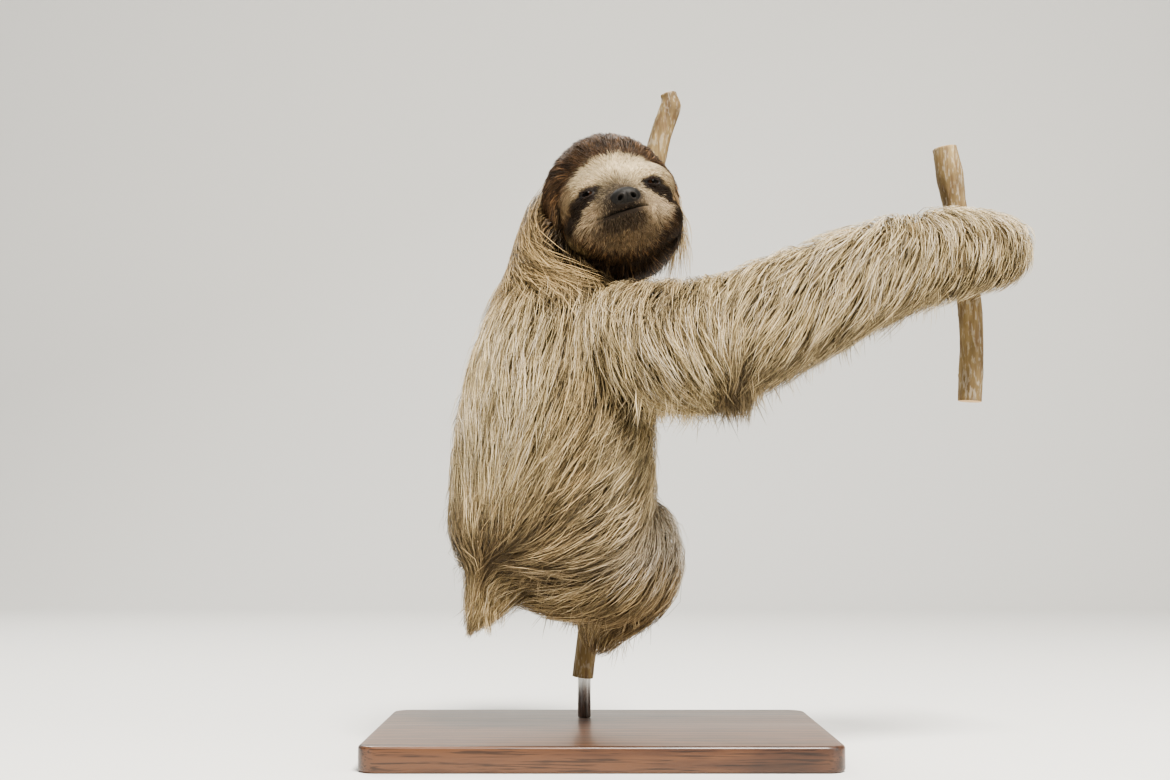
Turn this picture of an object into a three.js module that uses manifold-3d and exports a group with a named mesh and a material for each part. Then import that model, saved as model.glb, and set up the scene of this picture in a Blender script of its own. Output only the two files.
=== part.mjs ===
// Life-size display model of a three-toed sloth climbing a thin stem, one arm stretched out to a
// second branch. Millimetres, +Z up. The origin is the middle of the stand's underside, +X is the
// way the right arm reaches, and the face looks along -Y.
//
// Every flesh solid is the outline of the animal out to the tips of its coat.

import * as THREE from 'three';
import { mergeVertices } from 'three/addons/utils/BufferGeometryUtils.js';
import Module from 'manifold-3d';

const wasm = await Module();
wasm.setup();

// ---------------------------------------------------------------- driving dimensions
const gap = 0.3; // clearance between pieces that touch

const baseLength = 330;
const baseDepth = 230;
const baseHeight = 18;
const baseCorner = 14;
const baseChamfer = 2.5;
const rodRadius = 5;
const rodBite = 26; // how far the rod goes up into the stem

const stemRadius = 8.4;
const branchRadius = 9.3;

const eyeRadius = 5.6;
const eyeSpread = 24.3; // from the middle of the face
const eyeForward = 34;
const eyeRise = -0.5;

const toes = ['inner', 'middle', 'outer'];

const headCentre = new THREE.Vector3(12.7, -12, 404.2);
const headTurn = new THREE.Euler(
  THREE.MathUtils.degToRad(-12),
  THREE.MathUtils.degToRad(-12),
  THREE.MathUtils.degToRad(2.5),
  'ZXY',
);

const up = new THREE.Vector3(0, 0, 1);
const bodyFront = new THREE.Vector3(0.64, 0.77, 0).normalize(); // from the spine to the belly

const finish = (color, roughness, metalness = 0) =>
  new THREE.MeshStandardMaterial({ color, roughness, metalness });
const coatFinish = finish(0xa08d74, 0.9);
const faceFinish = finish(0x8a7660, 0.85);
const noseFinish = finish(0x33312f, 0.45);
const eyeFinish = finish(0x1c110b, 0.08);
const clawFinish = finish(0xb9a888, 0.5);
const barkFinish = finish(0x7d6450, 0.9);
const woodFinish = finish(0x4a3122, 0.45);
const steelFinish = finish(0xb8b8b8, 0.3, 1);

// ---------------------------------------------------------------- solids and cuts
function solid(geometry) {
  const bare = geometry.clone();
  bare.deleteAttribute('normal');
  bare.deleteAttribute('uv');
  const merged = mergeVertices(bare, 1e-4);
  return new wasm.Manifold(new wasm.Mesh({
    numProp: 3,
    vertProperties: new Float32Array(merged.attributes.position.array),
    triVerts: new Uint32Array(merged.index.array),
  }));
}

function geometryOf(body) {
  const mesh = body.getMesh();
  const geometry = new THREE.BufferGeometry();
  geometry.setAttribute('position', new THREE.BufferAttribute(mesh.vertProperties, 3));
  geometry.setIndex(new THREE.BufferAttribute(mesh.triVerts, 1));
  geometry.computeVertexNormals();
  return geometry;
}

// What is left of a body once its neighbours are taken out of it, without loose slivers.
function without(body, ...neighbours) {
  const rest = neighbours.reduce((left, cutter) => left.subtract(cutter), body);
  return rest.decompose().reduce((best, lump) => (lump.volume() > best.volume() ? lump : best));
}

// The part of a body between two planes square to `along`, at distances from and to.
function slab(body, point, along, from, to) {
  const width = 600; // wider than any piece
  const box = new THREE.BoxGeometry(width, width, to - from);
  box.translate(0, 0, (from + to) / 2);
  const turn = new THREE.Quaternion().setFromUnitVectors(up, along.clone().normalize());
  box.applyQuaternion(turn).translate(point.x, point.y, point.z);
  return body.intersect(solid(box));
}

// ---------------------------------------------------------------- forms
// A section of a limb: its centre, then its half-widths towards `lean`, away from it and sideways.
const section = (x, y, z, fore, aft, side) => ({
  centre: new THREE.Vector3(x, y, z),
  girth: new THREE.Vector3(fore, aft, side),
});

// A round-ended body whose skin passes through a row of oval sections. `caps` are the lengths of
// its two round ends past the first and last section.
function fleshForm(sections, options) {
  const { lean = up, around = 16, rings = 7, capRings = 2, caps, grow } = options;
  const spine = new THREE.CatmullRomCurve3(sections.map((s) => s.centre), false, 'centripetal');
  const girths = new THREE.CatmullRomCurve3(sections.map((s) => s.girth), false, 'catmullrom', 0.5);
  const rows = rings + 2 * capRings;
  const geometry = new THREE.SphereGeometry(1, around, rows);
  const place = geometry.attributes.position;
  for (let i = 0; i < place.count; i += 1) {
    const ball = new THREE.Vector3().fromBufferAttribute(place, i);
    const row = Math.round((Math.acos(THREE.MathUtils.clamp(ball.y, -1, 1)) / Math.PI) * rows);
    const turn = Math.atan2(ball.z, ball.x);
    const t = THREE.MathUtils.clamp((row - capRings) / rings, 0, 1);
    const capTurn = (Math.min(row, rows - row, capRings) / capRings) * (Math.PI / 2);
    const past = row < capRings ? -caps[0] - grow : caps[1] + grow;
    const tangent = spine.getTangent(t);
    const foreWay = lean.clone().addScaledVector(tangent, -lean.dot(tangent)).normalize();
    const sideWay = tangent.clone().cross(foreWay);
    const girth = girths.getPoint(t);
    const closing = row === 0 || row === rows ? 0 : Math.sin(capTurn);
    const foreReach = (Math.cos(turn) > 0 ? girth.x : girth.y) + grow;
    const point = spine.getPoint(t)
      .addScaledVector(tangent, past * Math.cos(capTurn))
      .addScaledVector(foreWay, Math.cos(turn) * foreReach * closing)
      .addScaledVector(sideWay, Math.sin(turn) * (girth.z + grow) * closing);
    place.setXYZ(i, point.x, point.y, point.z);
  }
  return solid(geometry);
}

// A cut length of wood: a knotty, slightly uneven tube with flat ends.
const knotLength = 0.035; // as a share of the wood's length
const waver = 0.03; // of the radius
const waverRate = 23;
function woodForm(points, radius, { around = 9, rings = 9, grow = 0, knots = [] } = {}) {
  const line = new THREE.CatmullRomCurve3(points.map((p) => new THREE.Vector3(...p)));
  const geometry = new THREE.CylinderGeometry(1, 1, 1, around, rings);
  const place = geometry.attributes.position;
  for (let i = 0; i < place.count; i += 1) {
    const t = 0.5 - place.getY(i);
    const tangent = line.getTangentAt(t);
    const sideWay = new THREE.Vector3(0, 1, 0).cross(tangent).normalize();
    const backWay = tangent.clone().cross(sideWay);
    const swells = knots.map((knot) => knot.swell * Math.exp(-(((t - knot.at) / knotLength) ** 2)));
    const girth = radius * (1 + Math.max(0, ...swells) + waver * Math.sin(waverRate * t)) + grow;
    const point = line.getPointAt(t)
      .addScaledVector(sideWay, place.getX(i) * girth)
      .addScaledVector(backWay, place.getZ(i) * girth);
    place.setXYZ(i, point.x, point.y, point.z);
  }
  return solid(geometry);
}

// ---------------------------------------------------------------- stand
function standBase() {
  const half = new THREE.Vector2(baseLength / 2 - baseChamfer, baseDepth / 2 - baseChamfer);
  const outline = new THREE.Shape();
  [[1, -1], [1, 1], [-1, 1], [-1, -1]].forEach(([sx, sy], corner) => {
    const start = (corner - 1) * (Math.PI / 2);
    const [x, y] = [sx * (half.x - baseCorner), sy * (half.y - baseCorner)];
    outline.absarc(x, y, baseCorner, start, start + Math.PI / 2);
  });
  const plate = new THREE.ExtrudeGeometry(outline, {
    depth: baseHeight - 2 * baseChamfer,
    bevelEnabled: true,
    bevelThickness: baseChamfer,
    bevelSize: baseChamfer,
    bevelSegments: 1,
    curveSegments: 4,
  });
  plate.translate(0, 0, baseChamfer);
  return solid(plate);
}

const stemFoot = new THREE.Vector3(-13, 57, 50);
const rodTop = stemFoot.z + rodBite;
const rodShift = 1.2; // sideways from the foot of the stem, which leans

function standRod(grow = 0) {
  const height = rodTop - baseHeight - gap + grow;
  const rod = new THREE.CylinderGeometry(rodRadius + grow, rodRadius + grow, height, 20);
  rod.rotateX(Math.PI / 2);
  rod.translate(stemFoot.x + rodShift, stemFoot.y, baseHeight + gap + height / 2);
  return solid(rod);
}

// ---------------------------------------------------------------- perches
const stemLine = [
  [stemFoot.x, stemFoot.y, stemFoot.z],
  [-8.1, 57, 90],
  [10, 57, 225.3],
  [25.2, 57, 344.2],
  [48, 57, 473],
  [60, 57, 508],
];
const branchLine = [
  [263.8, 2, 452],
  [268.6, 2, 421],
  [279.2, 2, 344],
  [281.4, 2, 306],
  [279, 2, 260],
];
const stemForm = (grow = 0) =>
  woodForm([...stemLine].reverse(), stemRadius, { rings: 15, grow, knots: [{ at: 0.16, swell: 0.16 }] });
const branchForm = (grow = 0) => woodForm(branchLine, branchRadius, {
  grow,
  knots: [{ at: 0.1, swell: 0.16 }, { at: 0.72, swell: 0.14 }],
});

function pointOn(lineOfPoints, height) {
  const heights = lineOfPoints.map(([, , z]) => z - height);
  const after = heights.findIndex((z, i) => i > 0 && z * heights[i - 1] <= 0);
  const [low, high] = [lineOfPoints[after - 1], lineOfPoints[after]];
  const share = (height - low[2]) / (high[2] - low[2]);
  return new THREE.Vector3(...low).lerp(new THREE.Vector3(...high), share);
}

// ---------------------------------------------------------------- claws
// A claw leaves its toe at `start`, curls round a perch and closes in on it as it tapers. The angles
// are seen from above, in degrees from +X.
function clawForm(perch, height, { start, end, rootReach, tipReach, thick }, grow = 0) {
  const steps = 5;
  const axis = pointOn(perch, height);
  const sections = [];
  for (let i = 0; i <= steps; i += 1) {
    const share = i / steps;
    const angle = THREE.MathUtils.degToRad(THREE.MathUtils.lerp(start, end, share));
    const reach = tipReach + (rootReach - tipReach) * (1 - share) ** 2;
    const half = thick * (1 - 0.8 * share ** 1.6);
    sections.push(section(
      axis.x + reach * Math.cos(angle),
      axis.y + reach * Math.sin(angle),
      axis.z - 3 * share,
      half * 0.78, half * 0.78, half,
    ));
  }
  return fleshForm(sections, { around: 7, rings: 4, capRings: 1, caps: [2, 1.2], grow });
}

const grips = {
  right_hand: {
    perch: branchLine, height: 368, spacing: 12, start: -6, end: 190, rootReach: 29, tipReach: 13.8, thick: 4,
  },
  left_hand: {
    perch: stemLine, height: 341, spacing: 12, start: 135, end: -48, rootReach: 24, tipReach: 12.8, thick: 4,
  },
  right_foot: {
    perch: stemLine, height: 87, spacing: 9, start: -20, end: 125, rootReach: 20, tipReach: 12.6, thick: 3.5,
  },
  left_foot: {
    perch: stemLine, height: 117, spacing: 9, start: 120, end: -58, rootReach: 20, tipReach: 12.6, thick: 3.5,
  },
};
const clawForms = (limb, grow = 0) => toes.map((toe, i) =>
  clawForm(grips[limb].perch, grips[limb].height + (1 - i) * grips[limb].spacing, grips[limb], grow));

// ---------------------------------------------------------------- head
// Ovals in the head's own axes: x to the animal's left, -y forward, z up.
const headOvals = [
  { at: [-1, 8, 8], half: [50.5, 43, 55] }, // skull under a deep crown of hair
  { at: [0, -8, -3], half: [43.5, 34, 38] }, // cheeks and face disc
  { at: [0, 5, -28], half: [40, 33, 27] }, // throat
  { at: [0, -33, -16], half: [20.5, 25, 13.5] }, // muzzle
  { at: [0, -23, -26], half: [24, 23, 14] }, // lower lip and chin
];
const headBlend = 12; // higher is a sharper join between the ovals
const headHeart = new THREE.Vector3(0, -14, -6); // rays start here, near the face, for finer facets there

// Distance from the heart of the head to the far side of an oval, or 0 where the ray misses it.
function reachOf(way, { at, half }) {
  const scale = new THREE.Vector3(...half);
  const scaled = way.clone().divide(scale);
  const centre = new THREE.Vector3(...at).sub(headHeart).divide(scale);
  const a = scaled.lengthSq();
  const b = scaled.dot(centre);
  const inside = b * b - a * (centre.lengthSq() - 1);
  return inside > 0 ? Math.max(0, (b + Math.sqrt(inside)) / a) : 0;
}

function headForm(grow = 0) {
  const geometry = new THREE.IcosahedronGeometry(1, 6);
  const place = geometry.attributes.position;
  for (let i = 0; i < place.count; i += 1) {
    const way = new THREE.Vector3().fromBufferAttribute(place, i).normalize();
    const total = headOvals.reduce((sum, oval) => sum + reachOf(way, oval) ** headBlend, 0);
    way.multiplyScalar(total ** (1 / headBlend) + grow).add(headHeart);
    place.setXYZ(i, way.x, way.y, way.z);
  }
  return solid(seatOnHead(geometry));
}

function seatOnHead(geometry) {
  const turn = new THREE.Matrix4().makeRotationFromEuler(headTurn).setPosition(headCentre);
  return geometry.applyMatrix4(turn);
}

function ovalOnHead(at, half, grow = 0, detail = 2) {
  const geometry = new THREE.IcosahedronGeometry(1, detail);
  geometry.scale(half[0] + grow, half[1] + grow, half[2] + grow).translate(...at);
  return solid(seatOnHead(geometry));
}
const eyeForm = (side, grow = 0) =>
  ovalOnHead([side * eyeSpread, -eyeForward, eyeRise], [eyeRadius, eyeRadius, eyeRadius], grow);
const noseForm = (grow = 0) => ovalOnHead([0, -53.5, -13.5], [12.5, 8.5, 7.5], grow);

// ---------------------------------------------------------------- neck, trunk and tail
const neckForm = (grow = 0) => fleshForm([
  section(-20, 6, 318, 44, 62, 54),
  section(-17, 8, 350, 40, 53, 47),
  section(-13, 9, 380, 38, 47, 42),
  section(-5, 12, 408, 36, 43, 38),
  section(3, 14, 428, 30, 34, 32),
], { lean: bodyFront, around: 16, rings: 6, caps: [20, 18], grow });

const trunkForm = (grow = 0) => fleshForm([
  section(-21, 0, 344, 42, 48, 50),
  section(-23, 0, 318, 54, 63, 63),
  section(-26, 0, 290, 63, 70, 70),
  section(-30, 0, 258, 67, 74, 74),
  section(-33.5, 0, 222, 70, 75, 78),
  section(-35, 0, 185, 72, 76, 78),
  section(-38, 0, 156, 68, 78, 75),
  section(-42, -2, 139, 60, 74, 68),
], { lean: bodyFront, around: 20, rings: 9, capRings: 3, caps: [14, 29], grow });

const tailForm = (grow = 0) => fleshForm([
  section(-60, -22, 152, 24, 42, 36),
  section(-73, -29, 129, 19, 31, 28),
  section(-86, -35, 108, 10, 15, 14),
  section(-93, -38, 96, 3, 3.5, 4),
], { lean: bodyFront, around: 12, rings: 5, caps: [8, 3.5], grow });

// ---------------------------------------------------------------- right arm, one form in three lengths
const rightArmForm = (grow = 0) => fleshForm([
  section(-2, -28, 300, 43, 45, 40),
  section(30, -46, 296, 48, 45, 42),
  section(62, -57, 291, 52, 41, 43),
  section(97, -67, 295, 52, 38, 42),
  section(125, -67, 311, 47, 38, 39),
  section(169, -60, 335, 40, 38, 35),
  section(210, -51, 353, 37, 34, 32),
  section(250, -41, 365, 34, 33, 29),
  section(280, -32, 370, 30, 30, 27),
  section(300, -26, 372, 25, 26, 24),
], { around: 16, rings: 15, caps: [20, 22], grow });
const elbow = new THREE.Vector3(104, -67.5, 300);
const elbowWay = new THREE.Vector3(0.86, 0.02, 0.51);
const wrist = new THREE.Vector3(238, -44, 362);
const wristWay = new THREE.Vector3(0.92, 0.26, 0.28);

// ---------------------------------------------------------------- left arm, folded behind the stem
const leftUpperArmForm = (grow = 0) => fleshForm([
  section(-56, 28, 306, 38, 42, 36),
  section(-54, 66, 290, 38, 42, 36),
  section(-42, 104, 270, 36, 40, 34),
  section(-28, 132, 256, 31, 36, 30),
], { around: 14, rings: 5, caps: [18, 26], grow });
const leftForearmForm = (grow = 0) => fleshForm([
  section(-22, 134, 266, 30, 32, 29),
  section(-6, 126, 292, 30, 30, 27),
  section(8, 110, 318, 25, 26, 24),
], { lean: new THREE.Vector3(0, 1, 0), around: 14, rings: 4, caps: [20, 2], grow });
const leftHandForm = (grow = 0) => fleshForm([
  section(9, 108.5, 321, 25, 25, 24),
  section(14, 96, 335, 20, 21, 22),
  section(14, 82, 343, 15, 16, 20),
], { lean: new THREE.Vector3(0, 1, 0), around: 12, rings: 4, caps: [2, 12], grow });

// ---------------------------------------------------------------- legs
const rightThighForm = (grow = 0) => fleshForm([
  section(-40, -20, 150, 46, 46, 44),
  section(-12, -10, 148, 42, 52, 43),
  section(14, 3, 150, 38, 56, 38),
  section(35, 14, 159, 30, 40, 28),
], { rings: 6, caps: [22, 24], grow });
const rightShankForm = (grow = 0) => fleshForm([
  section(38, 17, 154, 26, 28, 28),
  section(35, 24, 130, 29, 31, 28),
  section(22, 30, 110, 27, 30, 25),
  section(9, 34, 98, 21, 24, 22),
], { lean: new THREE.Vector3(1, 0, -0.3).normalize(), rings: 5, caps: [16, 4], grow });
const rightFootForm = (grow = 0) => fleshForm([
  section(8, 35, 98, 22, 25, 21),
  section(4, 38, 88, 18, 22, 18),
  section(2, 40, 80, 13, 16, 14),
], { lean: new THREE.Vector3(1, 0, 0), around: 12, rings: 3, caps: [3, 7], grow });

const leftThighForm = (grow = 0) => fleshForm([
  section(-64, 20, 150, 42, 40, 42),
  section(-48, 54, 160, 37, 38, 36),
  section(-28, 82, 172, 31, 32, 30),
  section(-17, 94, 178, 26, 27, 26),
], { around: 14, rings: 5, caps: [18, 20], grow });
const leftShankForm = (grow = 0) => fleshForm([
  section(-14, 97, 172, 24, 24, 25),
  section(-11, 94, 150, 25, 25, 25),
  section(-11, 86, 131, 20, 20, 21),
], { lean: new THREE.Vector3(0, 1, 0), around: 13, rings: 4, caps: [16, 4], grow });
const leftFootForm = (grow = 0) => fleshForm([
  section(-11, 84, 127, 18, 18, 19),
  section(-13, 77, 117, 15, 14, 17),
  section(-13, 73, 108, 12, 11, 13),
], { lean: new THREE.Vector3(0, 1, 0), around: 12, rings: 3, caps: [3, 8], grow });

// ---------------------------------------------------------------- assembly
const sloth = new THREE.Group();
const put = (name, body, material) => {
  const mesh = new THREE.Mesh(geometryOf(body), material);
  mesh.name = name;
  sloth.add(mesh);
};

put('stand_base', standBase(), woodFinish);
put('stand_rod', standRod(), steelFinish);
put('perch_stem', stemForm().subtract(standRod(gap)), barkFinish);
put('perch_branch', branchForm(), barkFinish);

const stemHole = stemForm(gap);
const branchHole = branchForm(gap);
const clawHoles = {};
for (const limb of Object.keys(grips)) {
  clawForms(limb).forEach((claw, i) => put(`${limb}_claw_${toes[i]}`, claw, clawFinish));
  clawHoles[limb] = clawForms(limb, gap);
}

put('eye_right', eyeForm(-1), eyeFinish);
put('eye_left', eyeForm(1), eyeFinish);
put('nose', noseForm(), noseFinish);
put('head', without(headForm(), eyeForm(-1, gap), eyeForm(1, gap), noseForm(gap), stemHole), faceFinish);

const headHole = headForm(gap);
put('neck', without(neckForm(), headHole, stemHole), coatFinish);
const neckHole = neckForm(gap);
put('trunk', without(trunkForm(), headHole, neckHole, stemHole), coatFinish);
const trunkHole = trunkForm(gap);
put('tail', without(tailForm(), trunkHole), coatFinish);
const bodyHoles = [headHole, neckHole, trunkHole, stemHole];

const rightArm = rightArmForm();
const far = 700; // past either end of the arm
put('right_upper_arm', without(slab(rightArm, elbow, elbowWay, -far, -gap / 2), ...bodyHoles), coatFinish);
const pastElbow = slab(rightArm, elbow, elbowWay, gap / 2, far);
put('right_forearm', without(slab(pastElbow, wrist, wristWay, -far, -gap / 2), branchHole), coatFinish);
put('right_hand', without(
  slab(pastElbow, wrist, wristWay, gap / 2, far), branchHole, ...clawHoles.right_hand,
), coatFinish);

put('left_upper_arm', without(leftUpperArmForm(), ...bodyHoles), coatFinish);
const leftUpperArmHole = leftUpperArmForm(gap);
put('left_forearm', without(leftForearmForm(), ...bodyHoles, leftUpperArmHole), coatFinish);
put('left_hand', without(
  leftHandForm(), ...bodyHoles, leftForearmForm(gap), leftUpperArmHole, ...clawHoles.left_hand,
), coatFinish);

const rightThighHole = rightThighForm(gap);
const rightShankHole = rightShankForm(gap);
put('right_thigh', without(rightThighForm(), ...bodyHoles, ...clawHoles.left_foot), coatFinish);
put('right_shank', without(
  rightShankForm(), ...bodyHoles, rightThighHole, ...clawHoles.right_foot, ...clawHoles.left_foot,
), coatFinish);
put('right_foot', without(
  rightFootForm(), ...bodyHoles, rightThighHole, rightShankHole,
  ...clawHoles.right_foot, ...clawHoles.left_foot,
), coatFinish);

const rightLegHoles = [rightThighHole, rightShankHole, rightFootForm(gap)];
const leftThighHole = leftThighForm(gap);
const leftShankHole = leftShankForm(gap);
put('left_thigh', without(leftThighForm(), ...bodyHoles, leftUpperArmHole, ...rightLegHoles), coatFinish);
put('left_shank', without(
  leftShankForm(), ...bodyHoles, leftThighHole, ...rightLegHoles, ...clawHoles.left_foot,
), coatFinish);
put('left_foot', without(
  leftFootForm(), ...bodyHoles, leftThighHole, leftShankHole, ...rightLegHoles,
  ...clawHoles.left_foot, ...clawHoles.right_foot,
), coatFinish);

export default sloth;
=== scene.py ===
"""A life-size three-toed sloth that clings to two cut stems, finished as a museum model on a plain stand.

Lengths are in millimetres until a piece's mesh is written, in metres.
"""

import math

import bmesh
import bpy
import numpy as np
import openvdb
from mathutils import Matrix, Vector, kdtree, noise


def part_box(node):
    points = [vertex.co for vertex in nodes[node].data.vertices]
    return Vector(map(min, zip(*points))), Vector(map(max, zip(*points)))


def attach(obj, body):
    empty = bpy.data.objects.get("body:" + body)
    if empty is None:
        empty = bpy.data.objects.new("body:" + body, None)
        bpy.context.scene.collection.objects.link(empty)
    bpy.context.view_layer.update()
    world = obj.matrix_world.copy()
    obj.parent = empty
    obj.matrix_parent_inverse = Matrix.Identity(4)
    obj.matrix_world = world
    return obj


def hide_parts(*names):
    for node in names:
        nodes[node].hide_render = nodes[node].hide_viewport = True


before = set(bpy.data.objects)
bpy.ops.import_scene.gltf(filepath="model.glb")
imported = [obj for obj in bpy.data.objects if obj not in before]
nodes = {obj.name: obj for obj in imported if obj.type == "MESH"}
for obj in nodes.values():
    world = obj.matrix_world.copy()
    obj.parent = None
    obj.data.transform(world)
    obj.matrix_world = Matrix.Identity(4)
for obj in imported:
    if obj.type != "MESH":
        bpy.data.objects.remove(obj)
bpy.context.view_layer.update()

# ---- Camera ------------------------------------------------------------------------------------
# A 50 mm lens a little over a metre in front of the model, low down and tipped up five degrees
# towards the face.

camera_place = (-0.01125, -1.219, 0.161)
camera_tip = math.radians(95)


def put_in_scene(name, data):
    """An object made from a mesh, a lamp or a camera, in the scene."""
    made = bpy.data.objects.new(name, data)
    bpy.context.scene.collection.objects.link(made)
    return made


camera_data = bpy.data.cameras.new("camera")
camera_data.lens = 50
camera_data.sensor_width = 36
camera = put_in_scene("camera", camera_data)
camera.location = camera_place
camera.rotation_euler = (camera_tip, 0, 0)
bpy.context.scene.camera = camera

# ---- Base plate of the stand ---------------------------------------------------------------------
# A flat board of dark stained hardwood, sawn to size, its corners rounded and its edges eased,
# under a satin lacquer. The rod is let into its top.


def box_of(node):
    """The lowest and highest corner of a piece of the frame."""
    low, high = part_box(node)
    return np.array(low) * 1000, np.array(high) * 1000


def make_piece(name, points, faces, material):
    """A smooth mesh that rides on the model. Its faces are index arrays, one for each corner count."""
    mesh = bpy.data.meshes.new(name)
    mesh.vertices.add(len(points))
    mesh.vertices.foreach_set("co", (np.asarray(points) * 0.001).astype(np.float32).ravel())
    corners = np.concatenate([np.asarray(group).ravel() for group in faces])
    sizes = np.concatenate([np.full(len(group), len(group[0])) for group in faces])
    mesh.loops.add(len(corners))
    mesh.loops.foreach_set("vertex_index", corners.astype(np.int32))
    mesh.polygons.add(len(sizes))
    mesh.polygons.foreach_set("loop_start", (np.cumsum(sizes) - sizes).astype(np.int32))
    mesh.update(calc_edges=True)
    mesh.validate()
    mesh.shade_smooth()
    mesh.materials.append(material)
    piece = put_in_scene(name, mesh)
    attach(piece, "root")
    return piece


def join_rings(rings, around):
    """Quads between rings of points that follow each other in a list."""
    ring = np.arange(rings - 1)[:, None] * around
    step = np.arange(around)[None, :]
    onward = (step + 1) % around
    corners = [ring + step, ring + onward, ring + around + onward, ring + around + step]
    return np.stack(corners, -1).reshape(-1, 4)


def make_bar(name, rings, material):
    """A closed piece over rings of points that follow each other, with a flat face at each end."""
    around = len(rings[0])
    points = np.concatenate(rings)
    ends = [np.arange(around)[::-1], np.arange(around) + len(points) - around]
    return make_piece(name, points, [join_rings(len(rings), around), ends], material)


def add_node(tree, kind, sockets=(), **settings):
    """A shader node whose sockets are set to values or joined to other nodes' outputs."""
    node = tree.nodes.new("ShaderNode" + kind)
    for name, value in settings.items():
        setattr(node, name, value)
    for socket, value in dict(sockets).items():
        if isinstance(value, bpy.types.NodeSocket):
            tree.links.new(value, node.inputs[socket])
        else:
            node.inputs[socket].default_value = value
    return node


def mix_colours(tree, share, first, second, mode="MIX"):
    """The colour between two others, by a share from 0 to 1."""
    sockets = {0: share, 6: first, 7: second}
    return add_node(tree, "Mix", sockets, data_type="RGBA", blend_type=mode).outputs[2]


def calculate(tree, operation, *values):
    """One step of arithmetic on values that change over the surface."""
    return add_node(tree, "Math", dict(enumerate(values)), operation=operation).outputs[0]


def colour_steps(tree, value, *stops):
    """A colour for each value, through stops of (position, colour)."""
    ramp = add_node(tree, "ValToRGB", {0: value})
    stops_made = ramp.color_ramp.elements
    while len(stops_made) < len(stops):
        stops_made.new(0.5)
    for made, (position, colour) in zip(stops_made, stops):
        made.position = position
        made.color = colour
    return ramp.outputs[0]


def rgb(red, green, blue):
    """A colour given as the 0-255 numbers of a colour card, made linear for the shader."""
    share = np.array([red, green, blue]) / 255
    linear = np.where(share < 0.04045, share / 12.92, ((share + 0.055) / 1.055) ** 2.4)
    return (*linear.tolist(), 1.0)


def start_material(name):
    """A material with one shader, and the tree and shader to work on."""
    material = bpy.data.materials.new(name)
    material.use_nodes = True
    tree = material.node_tree
    return material, tree, tree.nodes["Principled BSDF"]


def spread_roughness(tree, shader, value, low, high):
    """A gloss that changes over the surface, as a value from 0 to 1 does."""
    spread = add_node(tree, "MapRange", {"Value": value, "To Min": low, "To Max": high})
    tree.links.new(spread.outputs[0], shader.inputs["Roughness"])


def add_relief(tree, shader, height, strength, depth):
    """A fine relief in the finish, as deep as a height that changes over the surface."""
    bump = add_node(tree, "Bump", {"Height": height, "Strength": strength, "Distance": depth})
    tree.links.new(bump.outputs[0], shader.inputs["Normal"])


def mottling_group():
    """Soft blotches and finer flecks, each from 0 to 1, for a colour, a gloss or a relief."""
    group = bpy.data.node_groups.new("mottling", "ShaderNodeTree")
    sockets = [("Place", "INPUT", "Vector"), ("Blotch size", "INPUT", "Float"),
               ("Fleck size", "INPUT", "Float"), ("Blotches", "OUTPUT", "Float"),
               ("Flecks", "OUTPUT", "Float")]
    for name, way, kind in sockets:
        group.interface.new_socket(name, in_out=way, socket_type="NodeSocket" + kind)
    given = group.nodes.new("NodeGroupInput")
    result = group.nodes.new("NodeGroupOutput")
    for k, detail in enumerate((4.0, 3.0)):
        sockets = {"Vector": given.outputs[0], "Scale": given.outputs[k + 1], "Detail": detail}
        group.links.new(add_node(group, "TexNoise", sockets).outputs[0], result.inputs[k])
    return group


mottling = mottling_group()


def add_mottling(tree, place, blotch, fleck):
    """The shared blotches and flecks, in a material's own sizes."""
    node = tree.nodes.new("ShaderNodeGroup")
    node.node_tree = mottling
    tree.links.new(place, node.inputs[0])
    node.inputs[1].default_value = blotch
    node.inputs[2].default_value = fleck
    return node


plate_corner = 14
plate_edge = 2.5
plate_low, plate_high = box_of("stand_base")

stained_wood, tree, shader = start_material("stained wood")
place = add_node(tree, "TexCoord").outputs["Object"]
along_grain = add_node(tree, "Mapping", {"Vector": place, "Scale": (5, 42, 42)}).outputs[0]
waver = add_mottling(tree, along_grain, 0.6, 3.5)
pores = add_node(tree, "Mapping", {"Vector": place, "Scale": (30, 900, 900)}).outputs[0]
pore = add_node(tree, "TexNoise", {"Vector": pores, "Scale": 1.0, "Detail": 2.0}).outputs[0]
bands = add_node(tree, "TexWave", {"Vector": along_grain, "Scale": 0.55, "Distortion": 7.0, "Detail": 3.0,
                                   "Detail Scale": 0.7}, bands_direction="Y").outputs[0]
figure = calculate(tree, "ADD", calculate(tree, "MULTIPLY", bands, 0.45), waver.outputs[1])
wood_colour = colour_steps(tree, figure, (0.3, rgb(38, 24, 16)), (0.6, rgb(74, 47, 31)),
                           (0.85, rgb(97, 64, 41)))
pore_mask = colour_steps(tree, pore, (0.36, (0.35, 0.35, 0.35, 1)), (0.46, (1, 1, 1, 1)))
tree.links.new(mix_colours(tree, 1.0, wood_colour, pore_mask, "MULTIPLY"), shader.inputs["Base Color"])
spread_roughness(tree, shader, waver.outputs[0], 0.3, 0.46)
add_relief(tree, shader, pore, 0.12, 0.0003)
shader.inputs["Coat Weight"].default_value = 0.35
shader.inputs["Coat Roughness"].default_value = 0.25


def plate_ring(inset, level, arc_points=9):
    """The board's rounded outline, drawn in by inset, at one level."""
    centre = (plate_low + plate_high)[:2] / 2
    half = (plate_high - plate_low)[:2] / 2 - plate_corner
    turn = np.radians(np.arange(4)[:, None] * 90 + np.linspace(0, 90, arc_points)[None, :]).ravel()
    corner = np.repeat([(1, 1), (-1, 1), (-1, -1), (1, -1)], arc_points, axis=0)
    flat = centre + corner * half + np.stack([np.cos(turn), np.sin(turn)], 1) * (plate_corner - inset)
    return np.column_stack([flat, np.full(len(flat), level)])


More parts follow.
